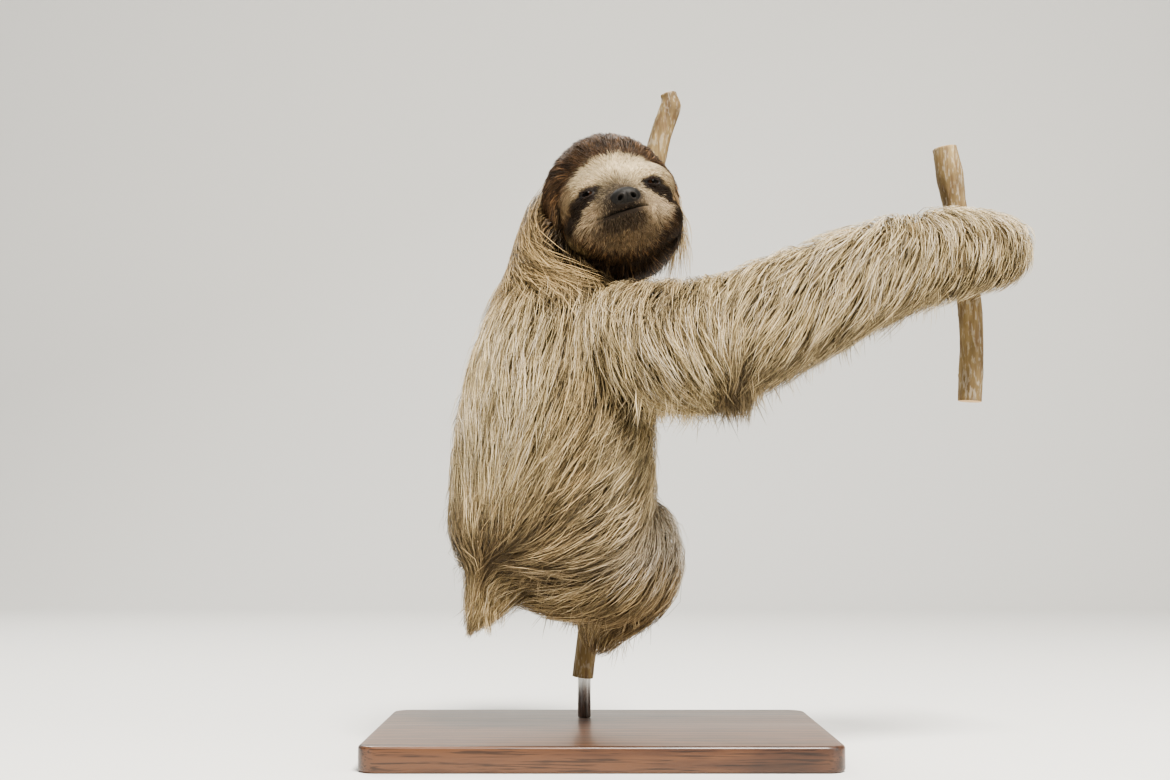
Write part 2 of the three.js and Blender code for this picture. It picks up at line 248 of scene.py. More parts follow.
ease = np.radians(np.linspace(0, 90, 6))
insets = plate_edge * (1 - np.sin(ease))
drops = plate_edge * (1 - np.cos(ease))
plate_rings = [plate_ring(inset, plate_low[2] + drop) for inset, drop in zip(insets, drops)]
plate_rings += [plate_ring(inset, plate_high[2] - drop) for inset, drop in zip(insets[::-1], drops[::-1])]
base_plate = make_bar("stand_base_plate", plate_rings, stained_wood)
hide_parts("stand_base")

# ---- Rod of the stand ----------------------------------------------------------------------------
# A turned steel rod, brushed along its length. Its lower end is let into the board and its
# upper end stands in a hole bored up the stem.

rod_sides = 64
rod_chamfer = 0.6
rod_low, rod_high = box_of("stand_rod")
rod_centre = (rod_low + rod_high)[:2] / 2
rod_radius = (rod_high - rod_low)[0] / 2

brushed_steel, tree, shader = start_material("brushed steel")
place = add_node(tree, "TexCoord").outputs["Object"]
strokes = add_node(tree, "Mapping", {"Vector": place, "Scale": (2600, 2600, 60)}).outputs[0]
stroke = add_node(tree, "TexNoise", {"Vector": strokes, "Scale": 1.0, "Detail": 3.0}).outputs[0]
tone = colour_steps(tree, stroke, (0.3, rgb(150, 150, 148)), (0.7, rgb(196, 195, 191)))
tree.links.new(tone, shader.inputs["Base Color"])
spread_roughness(tree, shader, stroke, 0.2, 0.42)
add_relief(tree, shader, stroke, 0.08, 0.0001)
shader.inputs["Metallic"].default_value = 1.0


def level_ring(centre, radius, level, sides):
    """A round ring of points at one level."""
    turn = np.arange(sides) * math.tau / sides
    return np.column_stack([centre[0] + radius * np.cos(turn), centre[1] + radius * np.sin(turn),
                            np.full(sides, level)])


rod_profile = [(rod_radius - rod_chamfer, rod_low[2]), (rod_radius, rod_low[2] + rod_chamfer),
               (rod_radius, rod_high[2] - rod_chamfer), (rod_radius - rod_chamfer, rod_high[2])]
rod_rings = [level_ring(rod_centre, radius, level, rod_sides) for radius, level in rod_profile]
rod = make_bar("stand_steel_rod", rod_rings, brushed_steel)
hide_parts("stand_rod")

# ---- The two stems it clings to --------------------------------------------------------------------
# Short cut lengths of a living shrub: thin tan-brown bark with raised pores and worn furrows, and
# clean sawn ends that show the pith. Each follows its solid's own line and thickness.

stem_sides = 48
stem_step = 1.6
stem_pores = 70
stem_bore, bore_play = 26, 0.3
furrow_folds, furrow_length, furrow_rise = 2.6, 42, 0.55
grit_folds, grit_length, grit_rise = 7.0, 7, 0.28
pore_rise, bark_sunk = 0.42, 0.25
usual_radius, pore_stretch = 9, 1.6
sawn_inset, sawn_proud, pith_share, pith_proud = 1.0, 0.3, 0.55, 0.45


def pick_out(tree, value, low, high):
    """A mask: 0 where the value is below low, 1 where it is above high."""
    return add_node(tree, "MapRange", {"Value": value, "From Min": low, "From Max": high}).outputs[0]


bark, tree, shader = start_material("bark")
place = add_node(tree, "TexCoord").outputs["Object"]
up_stem = add_node(tree, "Mapping", {"Vector": place, "Scale": (1, 1, 0.28)}).outputs[0]
patches = add_mottling(tree, up_stem, 70.0, 520.0)
fissures = add_node(tree, "Mapping", {"Vector": place, "Scale": (1, 1, 0.12)}).outputs[0]
fissure = add_node(tree, "TexNoise", {"Vector": fissures, "Scale": 420.0, "Detail": 3.0}).outputs[0]
bark_tone = colour_steps(tree, patches.outputs[0], (0.32, rgb(84, 67, 42)), (0.5, rgb(124, 104, 68)),
                         (0.68, rgb(156, 136, 98)))
lichen = pick_out(tree, patches.outputs[1], 0.52, 0.62)
flecked = mix_colours(tree, calculate(tree, "MULTIPLY", lichen, 0.32), bark_tone, rgb(188, 180, 162))
furrow = pick_out(tree, fissure, 0.34, 0.5)
furrowed = mix_colours(tree, furrow, rgb(92, 68, 46), flecked)
tree.links.new(mix_colours(tree, 0.6, flecked, furrowed), shader.inputs["Base Color"])
add_relief(tree, shader, calculate(tree, "ADD", furrow, patches.outputs[1]), 0.5, 0.0004)
shader.inputs["Roughness"].default_value = 0.82

sawn_end, tree, shader = start_material("sawn end")
place = add_node(tree, "TexCoord").outputs["Generated"]
fibre = add_mottling(tree, place, 12.0, 90.0)
fibre_tone = colour_steps(tree, fibre.outputs[1], (0.3, rgb(168, 132, 88)), (0.7, rgb(214, 184, 140)))
tree.links.new(fibre_tone, shader.inputs["Base Color"])
add_relief(tree, shader, fibre.outputs[1], 0.35, 0.0003)
shader.inputs["Roughness"].default_value = 0.75


def centreline(node, margin=3.0, step=6.0):
    """Where a stem of the frame runs, and how thick it is, from level cuts through it."""
    mesh = nodes[node].data
    points = np.array([vertex.co for vertex in mesh.vertices]) * 1000
    edges = np.array([edge.vertices[:] for edge in mesh.edges])
    start, end = points[edges[:, 0]], points[edges[:, 1]]
    low, high = points[:, 2].min() + margin, points[:, 2].max() - margin
    centres, radii = [], []
    for level in np.linspace(low, high, int((high - low) / step)):
        crosses = (start[:, 2] - level) * (end[:, 2] - level) < 0
        share = (level - start[crosses, 2]) / (end[crosses, 2] - start[crosses, 2])
        cut = start[crosses] + share[:, None] * (end[crosses] - start[crosses])
        centres.append((cut.min(0) + cut.max(0)) / 2)
        radii.append(np.ptp(cut[:, :2], axis=0).mean() / 2)
    centres = np.array(centres)
    first = centres[0] - (centres[1] - centres[0]) * margin / step
    last = centres[-1] + (centres[-1] - centres[-2]) * margin / step
    return np.vstack([first, centres, last]), np.array([radii[0], *radii, radii[-1]])


def bark_height(turn, along, seed, pores):
    """How far the bark stands out at a turn round the stem and a length along it."""
    height = np.empty(len(turn))
    for k, (angle, reach) in enumerate(zip(turn, along)):
        x, y = math.cos(angle), math.sin(angle)
        furrow = noise.noise(Vector((x * furrow_folds + seed, y * furrow_folds, reach / furrow_length)))
        grit = noise.noise(Vector((x * grit_folds, y * grit_folds + seed, reach / grit_length)))
        height[k] = furrow_rise * furrow + grit_rise * grit
    for pore_turn, pore_reach, size in pores:
        across = (turn - pore_turn + math.pi) % math.tau - math.pi
        distance = np.hypot(across * usual_radius / (size * pore_stretch), (along - pore_reach) / size)
        height += pore_rise * np.exp(-distance ** 2 * 2)
    return height


def make_stem(name, node, seed, bore):
    """A stem of bark along a frame node's own line, with sawn ends and, if asked, a hole up its foot."""
    random = np.random.default_rng(seed)
    line, radii = centreline(node)
    lengths = np.concatenate([[0], np.cumsum(np.linalg.norm(np.diff(line, axis=0), axis=1))])
    stations = np.linspace(0, lengths[-1], int(lengths[-1] / stem_step))
    spine = np.stack([np.interp(stations, lengths, line[:, k]) for k in range(3)], 1)
    soft = np.array([0.25, 0.5, 0.25])
    for _ in range(6):
        spine[1:-1] = sum(weight * spine[1 + k:len(spine) - 1 + k] for k, weight in zip((-1, 0, 1), soft))
    girth = np.interp(stations, lengths, radii)
    heading = np.gradient(spine, axis=0)
    heading /= np.linalg.norm(heading, axis=1)[:, None]
    side = np.cross((0, 1, 0), heading)
    side /= np.linalg.norm(side, axis=1)[:, None]
    front = np.cross(heading, side)
    turn = np.arange(stem_sides) * math.tau / stem_sides
    pores = np.column_stack([random.uniform(0, math.tau, stem_pores),
                             random.uniform(0, lengths[-1], stem_pores),
                             random.uniform(0.8, 1.7, stem_pores)])
    ring_turn = np.tile(turn, len(stations))
    ring_reach = np.repeat(stations, stem_sides)
    height = bark_height(ring_turn, ring_reach, seed, pores).reshape(len(stations), stem_sides)
    outward = side[:, None] * np.cos(turn)[None, :, None] + front[:, None] * np.sin(turn)[None, :, None]
    skin_rings = spine[:, None] + outward * (girth[:, None] + height - bark_sunk)[:, :, None]

    def end_ring(k, radius, lift):
        """A ring at one end of the stem, of its own radius and lifted along the stem."""
        return spine[k] + heading[k] * lift + outward[k] * radius

    top = [end_ring(-1, girth[-1] - sawn_inset, sawn_proud),
           end_ring(-1, girth[-1] * pith_share, pith_proud)]
    foot = [end_ring(0, girth[0] - sawn_inset, -sawn_proud)]
    if bore:
        hole = rod_radius + bore_play
        shift = np.append(rod_centre - spine[0][:2], 0)
        foot = [end_ring(0, hole, bore) + shift, end_ring(0, hole, -sawn_proud) + shift, *foot]
    piece = make_bar(name, [*foot, *skin_rings, *top], bark)
    piece.data.materials.append(sawn_end)
    sawn = np.zeros(len(piece.data.polygons), np.int32)
    sawn[:len(foot) * stem_sides] = 1
    sawn[-len(top) * stem_sides - 2:] = 1
    piece.data.polygons.foreach_set("material_index", sawn)
    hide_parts(node)


make_stem("stem_of_bark", "perch_stem", seed=3, bore=stem_bore)
make_stem("branch_of_bark", "perch_branch", seed=8, bore=0)

# ---- Where the head is -----------------------------------------------------------------------------
# The head's own axes, from its eyes and nose: left is the animal's left, back goes away from the
# face and up through the crown. Sizes on the head are (left, back, up) from its middle.

eye_spots = {side: sum(box_of("eye_" + side)) / 2 for side in ("right", "left")}
eye_ball = (box_of("eye_left")[1] - box_of("eye_left")[0]).max() / 2
nose_ahead, nose_below = 19.5, 13
eyes_ahead, eyes_above = 34, -0.5

between_eyes = (eye_spots["right"] + eye_spots["left"]) / 2
head_left = eye_spots["left"] - eye_spots["right"]
head_left /= np.linalg.norm(head_left)
to_nose = sum(box_of("nose")) / 2 - between_eyes
head_back = nose_below * np.cross(head_left, to_nose) - nose_ahead * to_nose
head_back /= np.linalg.norm(head_back)
head_up = np.cross(head_left, head_back)
head_axes = np.stack([head_left, head_back, head_up])
head_middle = between_eyes + eyes_ahead * head_back - eyes_above * head_up


def to_head(points):
    """Points of the room in the head's own axes."""
    return (points - head_middle) @ head_axes.T


def from_head(points):
    """Points of the head's own axes in the room."""
    return points @ head_axes + head_middle


# ---- Skin ------------------------------------------------------------------------------------------
# One hide over the whole body, drawn in from the outline by the depth of the coat, which is deep on
# the trunk and shallow on the face. It is taken off the solids as a field of distances, so that no
# join between them shows.

coat_depth = {"head": 5, "nose": 0, "neck": 11, "trunk": 13, "tail": 7,
              "right_upper_arm": 12, "right_forearm": 10, "right_hand": 7,
              "left_upper_arm": 12, "left_forearm": 10, "left_hand": 7,
              "right_thigh": 11, "right_shank": 8, "right_foot": 5,
              "left_thigh": 11, "left_shank": 8, "left_foot": 5}
flesh_names = list(coat_depth)
fine_step = 2.5
coarse_step = 5.0
field_margin = 26
gap_closed = 0.5
part_outer, part_inner, part_blend = 60, 40, 6.0
outline_outer, outline_inner, thin_band = 30, 44, 8


def unit(vectors):
    """The same directions, one long."""
    return vectors / np.maximum(np.linalg.norm(vectors, axis=-1, keepdims=True), 1e-9)


def ease_between(value, start, end):
    """0 before start, 1 after end, and a smooth rise between."""
    share = np.clip((value - start) / (end - start), 0, 1)
    return share * share * (3 - 2 * share)


def fade_between(value, start, end):
    """1 before start, 0 after end, and a smooth fall between."""
    return 1 - ease_between(value, start, end)


def hump(value, middle, spread):
    """1 at the middle, falling off smoothly on both sides."""
    return np.exp(-((value - middle) / spread) ** 2)


def points_of(mesh):
    """A mesh's points, in millimetres."""
    points = np.empty(len(mesh.vertices) * 3, np.float32)
    mesh.vertices.foreach_get("co", points)
    return points.reshape(-1, 3) * 1000


def solid_of(node):
    """The points and triangles of a frame node."""
    mesh = nodes[node].data
    mesh.calc_loop_triangles()
    triangles = np.empty(len(mesh.loop_triangles) * 3, np.int32)
    mesh.loop_triangles.foreach_get("vertices", triangles)
    return points_of(mesh), triangles.reshape(-1, 3)


flesh_solids = {name: solid_of(name) for name in flesh_names}
flesh_low = np.min([points.min(0) for points, _ in flesh_solids.values()], axis=0) - field_margin
flesh_high = np.max([points.max(0) for points, _ in flesh_solids.values()], axis=0) + field_margin


class Field:
    """Numbers on an even lattice over the body, read between its points."""

    def __init__(self, step, values=None):
        self.step = step
        self.low = np.floor(flesh_low / step).astype(int)
        self.count = np.ceil(flesh_high / step).astype(int) - self.low + 1
        self.values = np.zeros(self.count, np.float32) if values is None else values

    def take(self, grid):
        """Fills the lattice from a volume grid of the same step."""
        grid.copyToArray(self.values, ijk=tuple(int(k) for k in self.low))
        return self

    def places(self):
        """The lattice's points, in millimetres."""
        axes = [(np.arange(n) + low) * self.step for n, low in zip(self.count, self.low)]
        return np.stack(np.meshgrid(*axes, indexing="ij"), -1).reshape(-1, 3)

    def at(self, points):
        """The value at each point, blended from the eight lattice points around it."""
        place = points / self.step - self.low
        place = np.clip(place, 0, np.array(self.values.shape[:3]) - 1.001)
        corner = place.astype(int)
        share = (place - corner).astype(np.float32)
        strides = np.array([self.values.shape[1] * self.values.shape[2], self.values.shape[2], 1])
        flat = corner @ strides
        numbers = self.values.reshape(-1, *self.values.shape[3:])
        total = 0
        for k in range(8):
            bits = np.array([k >> 2 & 1, k >> 1 & 1, k & 1])
            weight = np.prod(np.where(bits, share, 1 - share), axis=1)
            found = numbers[flat + int(bits @ strides)]
            total = total + (found * weight[:, None] if found.ndim > 1 else found * weight)
        return total


def soften(values, passes):
    """A lattice smoothed along its three axes."""
    for _ in range(passes):
        for axis in range(3):
            values = values * 0.5 + (np.roll(values, -1, axis) + np.roll(values, 1, axis)) * 0.25
    return values


def level_set(points, triangles, step, outer, inner):
    """The field of distances to a closed surface, negative inside."""
    lattice = openvdb.createLinearTransform(voxelSize=step)
    return openvdb.FloatGrid.createLevelSetFromPolygons(
        points.astype(np.float32), triangles=triangles.astype(np.uint32), transform=lattice,
        exBandWidth=outer / step, inBandWidth=inner / step)


def halve(quads):
    """Two triangles from each quad."""
    return np.concatenate([quads[:, [0, 1, 2]], quads[:, [0, 2, 3]]])


# Each part's own distance, for what changes from part to part: depth of coat, lie and colour.
part_fields = [level_set(*flesh_solids[name], coarse_step, part_outer, part_inner) for name in flesh_names]
part_reach = np.stack([Field(coarse_step).take(grid).values for grid in part_fields], -1)
part_reach -= part_reach.min(-1, keepdims=True)
part_share = np.exp(-part_reach / part_blend)
part_share /= part_share.sum(-1, keepdims=True)
parts = Field(coarse_step, part_share.astype(np.float32))

# The outline: all parts joined, the hair-thin gaps between them closed.
all_points = np.concatenate([points for points, _ in flesh_solids.values()])
offsets = np.cumsum([0] + [len(points) for points, _ in flesh_solids.values()])
all_triangles = np.concatenate([triangles + offset
                                for (_, triangles), offset in zip(flesh_solids.values(), offsets)])
joined = level_set(all_points, all_triangles, fine_step, thin_band, thin_band)
hull_points, _, hull_quads = joined.convertToPolygons(isovalue=gap_closed, adaptivity=0)
hull = level_set(hull_points, halve(hull_quads), fine_step, outline_outer, outline_inner)
outline = Field(fine_step).take(hull)
outline.values = soften(outline.values + gap_closed, 2)
slope = Field(fine_step, np.stack(np.gradient(soften(outline.values, 2), fine_step), -1).astype(np.float32))

depth_values = soften(part_share @ np.array(list(coat_depth.values()), np.float32), 1)
depth = Field(coarse_step, depth_values.astype(np.float32))
hide = Field(fine_step)
hide.values = (outline.values.ravel() + depth.at(hide.places())).reshape(hide.count).astype(np.float32)
hide_grid = openvdb.FloatGrid()
hide_grid.copyFromArray(hide.values, ijk=tuple(int(k) for k in hide.low))
hide_grid.transform = openvdb.createLinearTransform(voxelSize=fine_step)
hide_points, _, hide_quads = hide_grid.convertToPolygons(isovalue=0, adaptivity=0)
hide_quads = hide_quads.astype(np.int64)

# The bare head: skull, face, muzzle and their soft joins, as ovals of (middle) and (half size).
head_ovals = [((-2.3, 8.5, 8), (44.7, 38, 50.5)), ((-1, -8, -4), (38.5, 31.5, 35)),
              ((-2, 3, -26), (35.5, 29, 24)), ((0, -32.5, -15), (19, 24.5, 12)),
              ((0, -24.5, -25), (21.5, 22, 11.5)),
              ((20, -22, 8), (16, 14, 9)), ((-20, -22, 8), (16, 14, 9)),
              ((24, -15, -20), (17, 18, 16)), ((-24, -15, -20), (17, 18, 16)),
              ((25, -27.5, 0), (13, 9, 10)), ((-25, -27.5, 0), (13, 9, 10))]
nose_oval = ((0, -52.6, -13.8), (10.6, 7.2, 6.5))
oval_join = 3.5
nose_join = 0.9
face_core = np.array([0, -14, -6])
neck_way = unit(np.array([-0.5, 0.75, -0.45]))
widest_head, narrowest_head = 100, 8
neck_edge, head_edge = math.radians(28), math.radians(42)
face_start = -20


def oval_distance(points, oval):
    """About how far points lie outside an oval."""
    middle, half = np.array(oval[0], float), np.array(oval[1], float)
    size = np.linalg.norm((points - middle) / half, axis=-1)
    return np.linalg.norm(points - middle, axis=-1) * (1 - 1 / np.maximum(size, 0.05))


def bare_head(points):
    """About how far points of the head's own axes lie outside its bare skin."""
    total = sum(np.exp(-oval_distance(points, oval) / oval_join) for oval in head_ovals)
    body = -oval_join * np.log(np.maximum(total, 1e-30))
    pad = oval_distance(points, nose_oval)
    near = np.clip(0.5 + (body - pad) / (2 * nose_join), 0, 1)
    return body * (1 - near) + pad * near - nose_join * near * (1 - near)


def head_weight(local):
    """1 over the head, 0 where the neck leaves it."""
    way = unit(local - face_core)
    return ease_between(way @ -neck_way, -math.cos(neck_edge), -math.cos(head_edge))


head_parts = [flesh_names.index("head"), flesh_names.index("nose")]


def head_share(points):
    """How far points belong to the head and not to the parts around it."""
    return parts.at(points)[:, head_parts].sum(1)


def press_head(points):
    """Points near the head, moved in or out along lines from its core until they lie on the bare skin."""
    local = to_head(points)
    weight = head_weight(local) * ease_between(head_share(points), 0.15, 0.5)
    chosen = weight > 0
    way = unit(local[chosen] - face_core)
    reach = np.full(len(way), float(widest_head))
    inside = np.zeros(len(way), bool)
    stride = 2.5
    for radius in np.arange(widest_head, narrowest_head, -stride):
        open_air = ~inside
        reach[open_air] = radius
        inside[open_air] = bare_head(face_core + way[open_air] * radius) < 0
        if inside.all():
            break
    near, far = reach, reach + stride
    for _ in range(9):
        middle = (near + far) / 2
        within = bare_head(face_core + way * middle[:, None]) < 0
        near, far = np.where(within, middle, near), np.where(within, far, middle)
    pressed = face_core + way * near[:, None]
    share = weight[chosen][:, None]
    moved = local.copy()
    moved[chosen] = local[chosen] * (1 - share) + pressed * share
    return from_head(moved)


# Finer mesh where the face needs it: the whole front, then the features, then lids, nose and lips.
mouth_width, mouth_middle, mouth_level, mouth_rise = 21.0, -4.6, -23.2, 3.2
nostril_out, nostril_up = 4.7, -16.4
eye_zone, pad_zone, lip_zone = 9, 14, 2.5
eye_local = {side: to_head(spot[None])[0] for side, spot in eye_spots.items()}


def mouth_height(across):
    """The level of the line between the lips, a little higher at its corners."""
    return mouth_level + mouth_rise * ((across - mouth_middle) / mouth_width) ** 2


def near_features(local):
    """How far points lie, across the face, from the eyes, nose and lips."""
    eyes = [np.linalg.norm((local - spot)[:, [0, 2]], axis=1) - eye_zone for spot in eye_local.values()]
    pad = np.linalg.norm((local - nose_oval[0])[:, [0, 2]] / (1, 0.8), axis=1) - pad_zone
    beyond = np.maximum(np.abs(local[:, 0] - mouth_middle) - mouth_width, 0)
    lips = np.hypot(beyond, local[:, 2] - mouth_height(local[:, 0])) - lip_zone
    return np.minimum.reduce([*eyes, pad, lips])


def refine(mesh):
    """Splits the mesh where the face needs it, three times over."""
    work = bmesh.new()
    work.from_mesh(mesh)
    for level in range(3):
        middles = np.array([face.calc_center_median() for face in work.faces]) * 1000
        local = to_head(middles)
        if level == 0:
            wanted = (np.linalg.norm(local, axis=1) < 72) & (local[:, 1] < 30) & (head_weight(local) > 0.02)
        elif level == 1:
            wanted = (np.abs(local[:, 0]) < 42) & (local[:, 1] < -12) & (np.abs(local[:, 2] + 8) < 36)
        else:
            wanted = (near_features(local) < 0) & (local[:, 1] < face_start)
        faces = [face for face, chosen in zip(work.faces, wanted) if chosen]
        edges = list({edge for face in faces for edge in face.edges})
        bmesh.ops.subdivide_edges(work, edges=edges, cuts=1, use_grid_fill=True)
    bmesh.ops.triangulate(work, faces=[face for face in work.faces if len(face.verts) > 4])
    work.to_mesh(mesh)
    work.free()


# Half-closed lids: the skin follows the eyeball a little proud of it and turns in at the rim.
lid_width, lid_over, lid_under, lid_tilt = 5.0, 0.9, 1.7, math.radians(12)
lid_proud, lid_inside = 0.75, -1.4
nostril_wide, nostril_high, nostril_deep, nostril_slant = 1.75, 1.5, 4.2, 0.35


def lid_share(local, side):
    """1 on the rim of an eye's opening, less inside it, more outside."""
    out = 1 if side == "left" else -1
    offset = local - eye_local[side]
    across = offset[:, 0] * out
    across, up = (across * math.cos(lid_tilt) - offset[:, 2] * math.sin(lid_tilt),
                  across * math.sin(lid_tilt) + offset[:, 2] * math.cos(lid_tilt))
    arch = np.where(up > 0, lid_over, lid_under)
    return np.hypot(across / lid_width, up / arch)


def carve_face(points):
    """Lids, nostrils, lips and the line between them, worked into the pressed head."""
    local = to_head(points)
    front = local[:, 1] < face_start
    across, up = local[:, 0], local[:, 2]
    outward = unit(local - face_core)
    gap = up - mouth_height(across)
    within = fade_between(np.abs(across - mouth_middle), mouth_width - 3, mouth_width + 1.5)
    muzzle = front * within
    lift = 0.5 * hump(gap, 2.2, 1.6) + 0.9 * hump(gap, -2.7, 2.3)
    lift -= 2.6 * hump(gap, 0, 0.7)
    lift = lift * muzzle
    for out in (-1, 1):
        slanted = across - out * nostril_out + (up - nostril_up) * nostril_slant * out
        hole = np.hypot(slanted / nostril_wide, (up - nostril_up) / nostril_high)
        lift -= front * nostril_deep * fade_between(hole, 0.45, 1.15)
        lift += front * 0.55 * hump(hole, 1.55, 0.4)
        wing = np.hypot((across - out * 8.4) / 1.1, (up - nostril_up + 1.6) / 3.2)
        lift -= front * 0.7 * np.exp(-wing ** 2)
    groove = hump(across, 0, 0.55) * ease_between(up, -21.5, -19.5) * fade_between(up, -16, -12)
    lift -= 0.7 * front * groove
    local = local + outward * lift[:, None]
    for side, spot in eye_local.items():
        share = lid_share(local, side)
        offset = local - spot
        near = front & (np.linalg.norm(offset[:, [0, 2]], axis=1) < 14)
        crease = 0.35 * hump(share, 1.75, 0.16) * (offset[:, 2] > 0)
        rim = lid_proud + 0.25 * hump(share, 1.12, 0.12) - crease
        turned_in = lid_inside + (rim - lid_inside) * ease_between(share, 0.8, 1.0)
        goal = eye_ball + np.where(share > 1, rim, turned_in)
        hold = fade_between(share, 1.3, 2.4) * near
        length = np.linalg.norm(offset, axis=1)
        local = spot + offset * (1 + (goal / np.maximum(length, 1) - 1) * hold)[:, None]
    return from_head(local)


# Colour of the coat from place to place, shared by the hide and by every lock of hair.
# Part of it is painted light and shade: painted shade under the long arm, on its underside, at the elbow,
# low on the rump and under the mane, and painted light on the arm towards the hand, the near knee and one
# cheek.
straw = rgb(214, 190, 144)
pale_straw = rgb(250, 229, 182)
brown_straw = rgb(138, 120, 92)
trunk_tan_and_shade = rgb(148, 131, 100)
leg_grey = rgb(244, 230, 206)
# Painted shade: a dark brown laid on the coat where shade falls.
painted_shade_brown = rgb(70, 54, 34)
mane_straw = rgb(160, 140, 104)
cream = rgb(250, 231, 192)
crown_brown = rgb(78, 60, 44)
side_brown = rgb(92, 69, 47)
mask_black = rgb(34, 24, 17)
muzzle_grey = rgb(78, 70, 58)
muzzle_dark = rgb(48, 42, 36)
cheek_tan = rgb(200, 180, 150)
chin_tan = rgb(150, 130, 104)
lip_grey = rgb(62, 53, 43)
throat_brown = rgb(70, 55, 40)
pad_black = rgb(14, 13, 11)
painted_cheek_light = rgb(236, 217, 186)
temple_tan = rgb(190, 168, 134)
belly_way = np.array([0.64, 0.77, 0.0])
stripe_line = np.array([(26.5, -4), (32, -9), (37, -13.5), (43, -19), (50, -31)], float)


def ripple(points, size, seed):
    """Soft unevenness from about -1 to 1, in waves of about that size."""
    random = np.random.default_rng(seed)
    total = 0
    for _ in range(7):
        way = unit(random.normal(size=3)) * math.tau / (size * random.uniform(0.7, 1.5))
        total = total + np.sin(points @ way + random.uniform(0, math.tau))
    return total / 3.2


def lay_over(tint, colour, mask):
    """One colour laid over another where its mask is 1."""
    return tint * (1 - mask[:, None]) + np.array(colour[:3]) * mask[:, None]


def off_line(places, line):
    """Distance in a plane from a bent line, and how far along it the nearest point is, from 0 to 1."""
    best = np.full(len(places), 1e9)
    along = np.zeros(len(places))
    for k, (start, end) in enumerate(zip(line[:-1], line[1:])):
        run = end - start
        share = np.clip((places - start) @ run / (run @ run), 0, 1)
        distance = np.linalg.norm(places - start - share[:, None] * run, axis=1)
        nearer = distance < best
        best = np.where(nearer, distance, best)
        along = np.where(nearer, (k + share) / (len(line) - 1), along)
    return best, along


def face_marks(points):
    """The head's pattern: dark crown, cream brow, black stripes from the eyes, grey muzzle, dark throat, with
    painted light on one cheek and painted shade on the other.
    """
    local = to_head(points) + 1.1 * np.stack([ripple(points, 4.5, seed) for seed in (1, 2, 3)], 1)
    across, back, up = np.abs(local[:, 0]), local[:, 1], local[:, 2]
    facing = fade_between(back, -3, 9)
    tint = np.tile(np.array(side_brown[:3]), (len(points), 1))
    tint = lay_over(tint, mask_black, 0.45 * ease_between(ripple(points, 14, 4), 0.1, 1.2))
    tint = lay_over(tint, crown_brown, ease_between(up, 14, 30))
    nape = ease_between(back, 24, 44) * fade_between(up, 30, 46)
    tint = lay_over(tint, mane_straw, 0.75 * nape)
    wider, lower = np.where(local[:, 0] < 0, 1.02, 0.9), np.where(up < -6, 0.88, 1.0)
    from_face = np.hypot(across / wider, (up + 6) / lower)
    ring = ease_between(from_face, 37, 44) * fade_between(up, -20, -4) * fade_between(back, 12, 26)
    tint = lay_over(tint, throat_brown, ring)
    brow = np.hypot(across / np.where(local[:, 0] < 0, 35.5, 38.5), up / 26.5)
    brow_mask = facing * fade_between(brow, 0.9, 1.04) * ease_between(up, -12, -4)
    past_stripe = ease_between(across - np.interp(-up, -stripe_line[:, 1], stripe_line[:, 0]), 2, 6)
    cheek = facing * fade_between(from_face, 35, 41) * fade_between(up, -9, 0) * (1 - past_stripe)
    tint = lay_over(tint, cheek_tan, cheek)
    tint = lay_over(tint, chin_tan, cheek * fade_between(up, -38, -20))
    # Painted light on the cheek on the animal's left, the side the key lamp is on.
    bright = hump(local[:, 0], 25, 9) * hump(up, -17, 9)
    tint = lay_over(tint, painted_cheek_light, 0.9 * cheek * bright)
    # The lower cheek on the animal's right is darkened with the side's brown: partly the dark side hair,
    # partly painted shade.
    shaded = ease_between(-local[:, 0], 10, 30) * fade_between(up, -34, -20)
    tint = lay_over(tint, side_brown, 0.7 * cheek * shaded)
    tint = lay_over(tint, cream, brow_mask)
    temple = facing * hump(across, 36, 4.5) * hump(up, 3, 6.5)
    tint = lay_over(tint, temple_tan, 0.8 * temple)
    gap, along = off_line(np.stack([across, up], 1), stripe_line)
    stripe_width = np.where(local[:, 0] > 0, 0.84, 1.0) * (5.4 + 1.6 * along)
    stripe = fade_between(gap / stripe_width, 0.85, 1.2) * fade_between(back, 8, 22)
    tint = lay_over(tint, mask_black, stripe)
    lid = np.hypot((across - 23.6) / 10.6, (up + 1.7 + (across - 24) * 0.16) / 6.4)
    tint = lay_over(tint, mask_black, facing * fade_between(lid, 0.75, 1.2))
    snout = np.hypot((local[:, 0] + 3) / 19.5, (up + 11) / 20.5)
    tint = lay_over(tint, muzzle_grey, facing * 0.92 * fade_between(snout, 0.5, 1.15))
    nose_top = np.hypot(across / 15, (up + 14) / 12)
    tint = lay_over(tint, muzzle_dark, facing * 0.8 * fade_between(nose_top, 0.6, 1.3))
    lips = np.hypot((local[:, 0] - mouth_middle) / 20, (up + 26.5) / 8.0)
    tint = lay_over(tint, lip_grey, facing * 0.92 * fade_between(lips, 0.6, 1.2))
    return tint


def bare_share(local):
    """1 on the bare nose, lips and lids, 0 where hair grows."""
    front = (local[:, 1] < face_start).astype(float)
    pad = fade_between(oval_distance(local, nose_oval), 0.2, 1.2)
    across = np.abs(local[:, 0] - mouth_middle)
    gap = np.abs(local[:, 2] - mouth_height(local[:, 0]))
    lips = fade_between(gap, 0.5, 1.0) * fade_between(across, mouth_width - 1, mouth_width + 1.5)
    lids = [fade_between(lid_share(local, side), 1.25, 1.5) for side in eye_local]
    near_eye = [np.linalg.norm((local - spot)[:, [0, 2]], axis=1) < 12 for spot in eye_local.values()]
    lids = np.maximum(lids[0] * near_eye[0], lids[1] * near_eye[1])
    return np.maximum.reduce([pad, lips * (local[:, 1] < -28), lids]) * front


